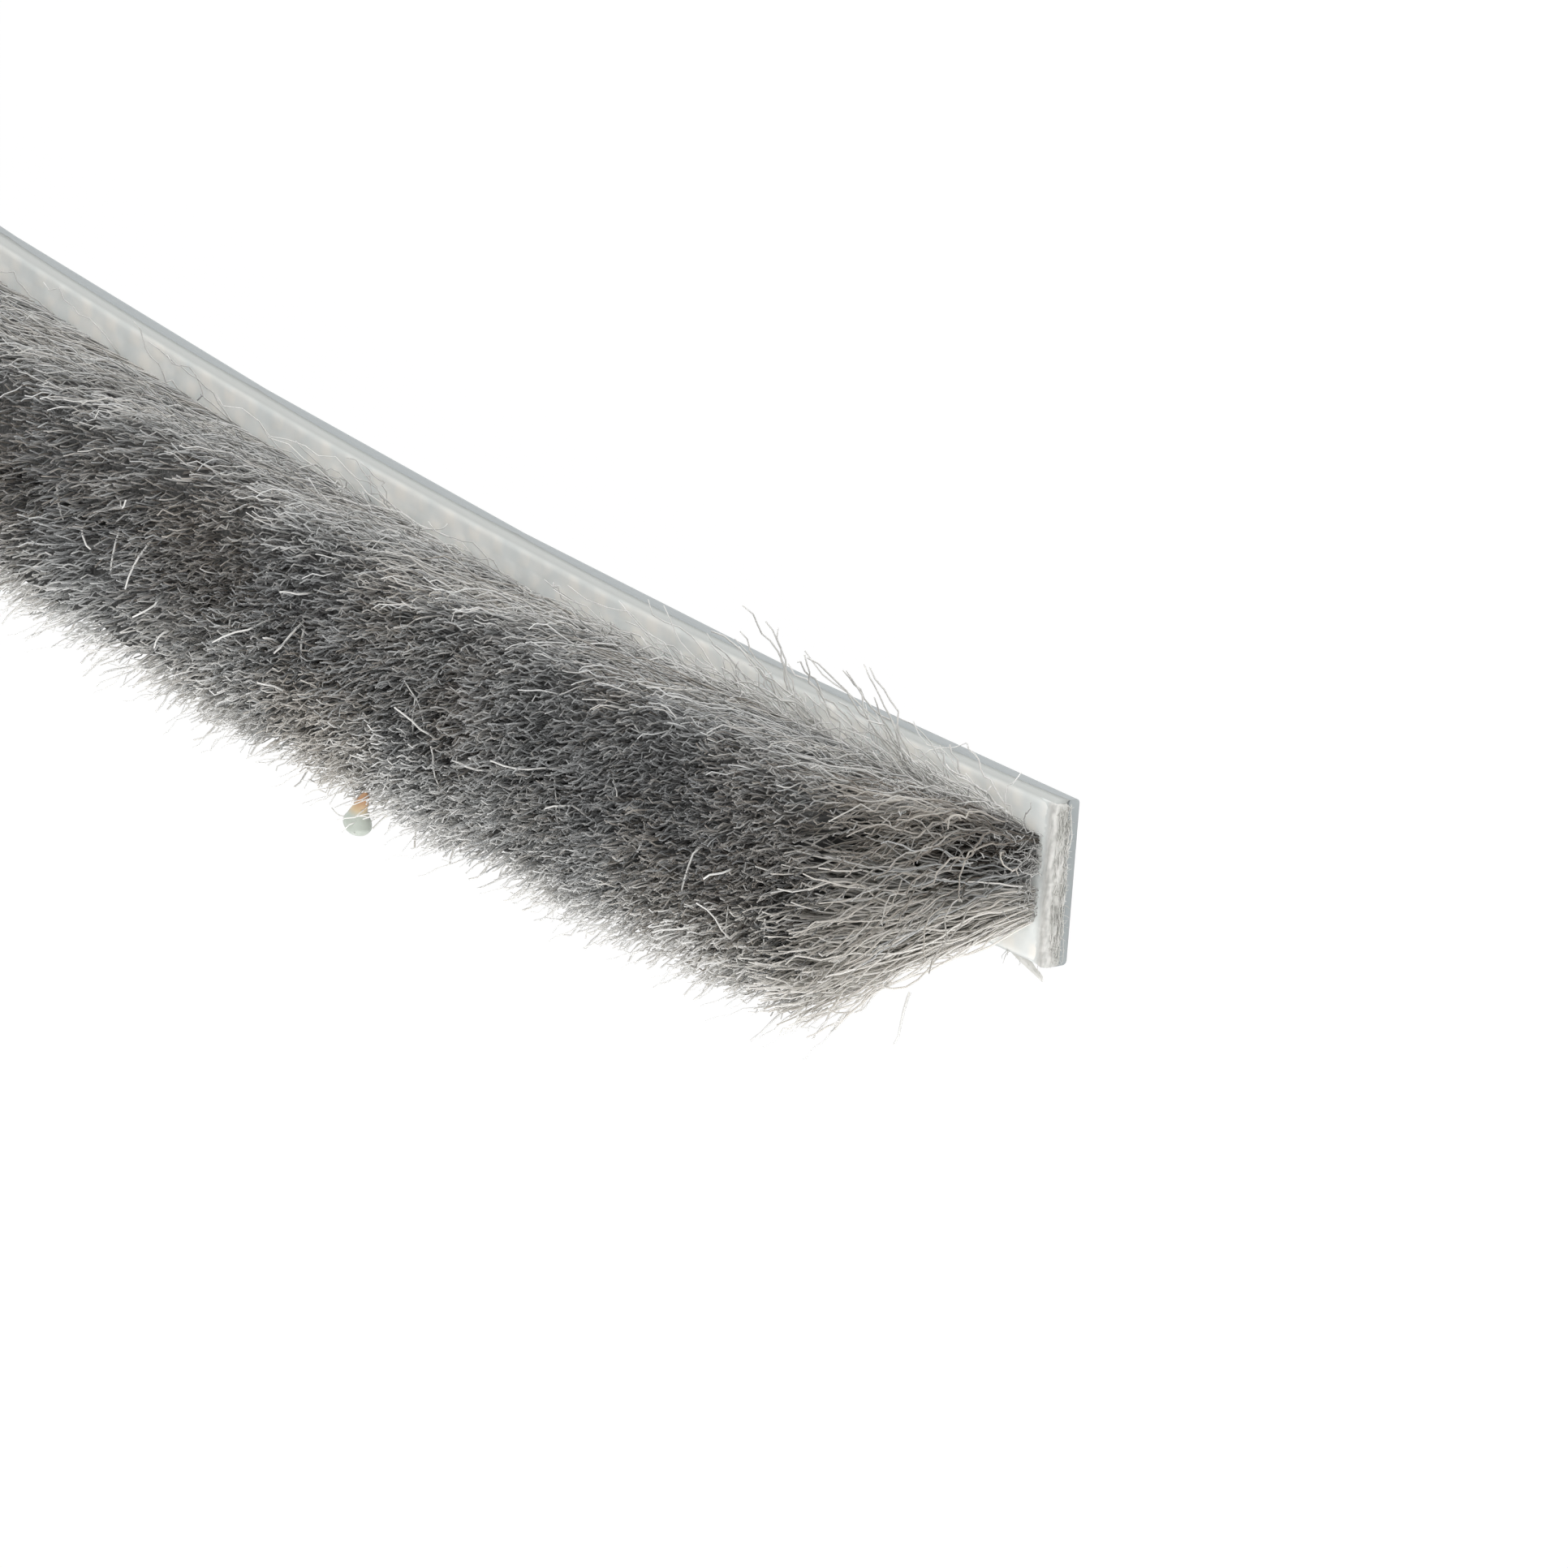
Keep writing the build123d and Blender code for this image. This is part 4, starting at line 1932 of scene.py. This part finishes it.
@dataclass(frozen=True)
class Crumb:
    """A waxy crumb that hangs in the tips of the -Y row, with two loops of loose yarn.

    Each knot of the crumb is its reach, across and radius. They and the loops are in
    millimetres.
    """

    height: float = 11.6 * MM
    pile_knots: tuple = ((30.35, -4.3, 0.20), (30.5, -4.75, 0.26), (30.7, -5.2, 0.36))
    round_knots: tuple = ((30.75, -5.55, 0.54), (30.65, -5.9, 0.60), (30.55, -6.25, 0.46))
    steps: int = 24
    sides: int = 14
    lumps: float = 0.10
    loops: tuple = (
        YarnLoop(31.9, -5.0, 0.9, 0.85, 1.2, 5.3),
        YarnLoop(32.0, -4.7, 0.55, 0.5, 0.4, 3.6),
    )
    loop_steps: int = 14
    loop_thickness: float = 0.09 * MM
    loop_shade: float = 0.8
    seed: int = 5

    def ring(self, along: float) -> list[Vector]:
        """One lumpy ring of the crumb.

        Args:
            along: share of the crumb's length, from its end in the pile.

        Returns:
            The ring's points.
        """
        knots = (*self.pile_knots, *self.round_knots)
        last = len(knots) - 1
        low = min(int(last * along), last - 1)
        share = last * along - low
        pairs = zip(knots[low], knots[low + 1])
        reach, across, radius = (a * (1 - share) + b * share for a, b in pairs)
        radius *= math.sqrt(max(0.03, 1 - (2 * along - 1) ** 6))
        points = []
        for side in range(self.sides):
            turn = 2 * math.pi * side / self.sides
            lump = noise.noise(Vector((last * along * 1.7, math.cos(turn), math.sin(turn))))
            spoke = radius * (1 + self.lumps * lump)
            height = self.height + spoke * math.sin(turn) * MM
            points.append(LINE.place((reach + spoke * math.cos(turn)) * MM, across * MM, height))
        return points

    def build(self, yarn: bpy.types.Material) -> list[bpy.types.Object]:
        """Builds the crumb and the loops of yarn beside it.

        Args:
            yarn: the yarn's material.

        Returns:
            The crumb and the loops.
        """
        mesh = skin("crumb", [self.ring(n / self.steps) for n in range(self.steps + 1)])
        ends = self.round_knots[-1], self.pile_knots[0]
        low, high = (LINE.place(reach * MM, across * MM, 0.0).y for reach, across, _ in ends)
        threads = Threads("crumb_loops", self.seed)
        for loop in self.loops:
            path = []
            for n in range(self.loop_steps + 1):
                turn = loop.start + (loop.end - loop.start) * n / self.loop_steps
                reach = loop.reach + loop.along_size * math.cos(turn)
                across = loop.across + loop.across_size * math.sin(turn)
                path.append(LINE.place(reach * MM, across * MM, self.height))
            threads.add(path, self.loop_thickness, self.loop_shade)
        return [finished("crumb", mesh, CrumbFinish().material(low, high)), threads.build(yarn)]

    def dress(self, yarn: bpy.types.Material) -> None:
        """Builds the crumb and makes it part of the strip."""
        for piece in self.build(yarn):
            settle(piece, Slot.YARN)


@dataclass(frozen=True)
class Backing:
    """The extruded strip, which keeps its solid and takes a finish."""

    finish: BackingFinish = BackingFinish()

    def dress(self) -> None:
        """Gives the solid its finish."""
        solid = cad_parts[Solid.BACKING.value]
        solid.data.materials.clear()
        solid.data.materials.append(self.finish.material())
        LOG.info("%s: dressed as %s", solid.name, self.finish.name)


def settle(piece: bpy.types.Object, slot: Slot, *replaced: Solid) -> None:
    """Makes a finished piece part of the strip and reports it.

    Args:
        piece: the finished object.
        slot: not used.
        replaced: the solids that it stands for.
    """
    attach(piece, BODY)
    if replaced:
        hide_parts(*(solid.value for solid in replaced))
    faces = piece.data.polygons
    triangles = sum(len(face.vertices) - 2 for face in faces)
    LOG.info("%s: %d faces, %d triangles", piece.name, len(faces), triangles)


def direction(azimuth: float, elevation: float) -> Vector:
    """The direction at an azimuth from +X and an elevation, both in radians."""
    flat = math.cos(elevation)
    return Vector((math.cos(azimuth) * flat, math.sin(azimuth) * flat, math.sin(elevation)))


class Lamp(NamedTuple):
    """A broad soft lamp: where it stands and how wide it looks, in degrees."""

    name: str
    azimuth: float
    elevation: float
    strength: float
    spread: float


@dataclass(frozen=True)
class Studio:
    """A pale floor, soft even light and the camera."""

    floor_size: float = 8.0
    aim: tuple = (491.15 * MM, 8.51 * MM, 8.41 * MM)
    azimuth: float = math.radians(30.64)
    elevation: float = math.radians(37.80)
    roll: float = math.radians(99.31)
    distance: float = 700 * MM
    lens: float = 407.05
    sensor: float = 36.0
    sky_low: float = 1.5
    sky_high: float = 0.4
    sky_heights: tuple = (0.25, 0.9)
    lamps: tuple = (Lamp("key", 72.0, 42.0, 1.2, 60.0), Lamp("fill", -65.0, 25.0, 1.45, 60.0))
    floor_white: tuple = (0.95, 0.95, 0.95)
    floor_glow: float = 1.02
    floor_share: float = 0.95

    def camera(self) -> None:
        """Sets the camera at the photograph's viewing angle."""
        back = direction(self.azimuth, self.elevation)
        data = bpy.data.cameras.new("camera")
        data.lens = self.lens
        data.sensor_width = self.sensor
        data.clip_start = 0.01
        data.clip_end = 50.0
        camera = bpy.data.objects.new("camera", data)
        bpy.context.scene.collection.objects.link(camera)
        turn = back.to_track_quat("Z", "Y").to_matrix().to_4x4() @ Matrix.Rotation(-self.roll, 4, "Z")
        camera.matrix_world = Matrix.Translation(Vector(self.aim) + back * self.distance) @ turn
        bpy.context.scene.camera = camera

    def lights(self) -> None:
        """A sky that is bright low down and dull overhead, and broad soft lamps."""
        world = bpy.data.worlds.new("studio")
        world.use_nodes = True
        bpy.context.scene.world = world
        graph = Graph(world.node_tree)
        _, _, up = graph.split(graph.add("ShaderNodeTexCoord", key="Generated"))
        background = world.node_tree.nodes["Background"]
        background.inputs["Color"].default_value = (1.0, 1.0, 1.0, 1.0)
        high = graph.smooth(up, *self.sky_heights)
        level = self.sky_low + (self.sky_high - self.sky_low) * high
        graph.feed(background.inputs["Strength"], level)
        for lamp in self.lamps:
            data = bpy.data.lights.new(lamp.name, "SUN")
            data.energy = lamp.strength
            data.angle = math.radians(lamp.spread)
            made = bpy.data.objects.new(lamp.name, data)
            bpy.context.scene.collection.objects.link(made)
            away = direction(math.radians(lamp.azimuth), math.radians(lamp.elevation))
            made.matrix_world = away.to_track_quat("Z", "Y").to_matrix().to_4x4()

    def floor(self) -> None:
        """A plain white floor that keeps the strip's shadow and glows where it is seen."""
        half = self.floor_size / 2
        mesh = bpy.data.meshes.new("floor")
        corners = [(-half, -half, 0.0), (half, -half, 0.0), (half, half, 0.0), (-half, half, 0.0)]
        mesh.from_pydata(corners, [], [(0, 1, 2, 3)])
        floor = add_object("floor", mesh)
        surface = Surface("floor_white")
        graph = surface.graph
        white = {"Base Color": linear(self.floor_white), "Roughness": 1.0, "Specular IOR Level": 0.0}
        mesh.materials.append(surface.dressed(white))
        rays = graph.node("ShaderNodeLightPath")
        seen = graph.out(rays, "Is Camera Ray")
        for other in ("Is Glossy Ray", "Is Transmission Ray"):
            seen = graph.math("MAXIMUM", seen, graph.out(rays, other))
        glow = {"Color": (1.0, 1.0, 1.0, 1.0), "Strength": self.floor_glow}
        parts = {
            0: seen * self.floor_share,
            1: graph.out(surface.shader),
            2: graph.add("ShaderNodeEmission", glow),
        }
        output = next(n for n in graph.tree.nodes if n.type == "OUTPUT_MATERIAL")
        graph.feed(output.inputs["Surface"], graph.add("ShaderNodeMixShader", parts))
        floor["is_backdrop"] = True

    def build(self) -> None:
        """Builds the floor, the lights and the camera."""
        self.floor()
        self.lights()
        self.camera()
        view = bpy.context.scene.view_settings
        view.view_transform = "Standard"


def main() -> None:
    """Builds the strip's pieces in order and reports each one."""
    logging.basicConfig(level=logging.INFO, format="%(message)s")
    Studio().build()
    yarn = YarnFinish().material()
    pile = Pile(yarn)
    pile.build(FibreTree().tree)
    pile.dress()
    Backing().dress()
    WovenTape().dress()
    CutEnd().dress()
    Crumb().dress(yarn)


if __name__ == "__main__":
    main()
    [[list(corner) for corner in box] for box in (cad_box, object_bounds())]
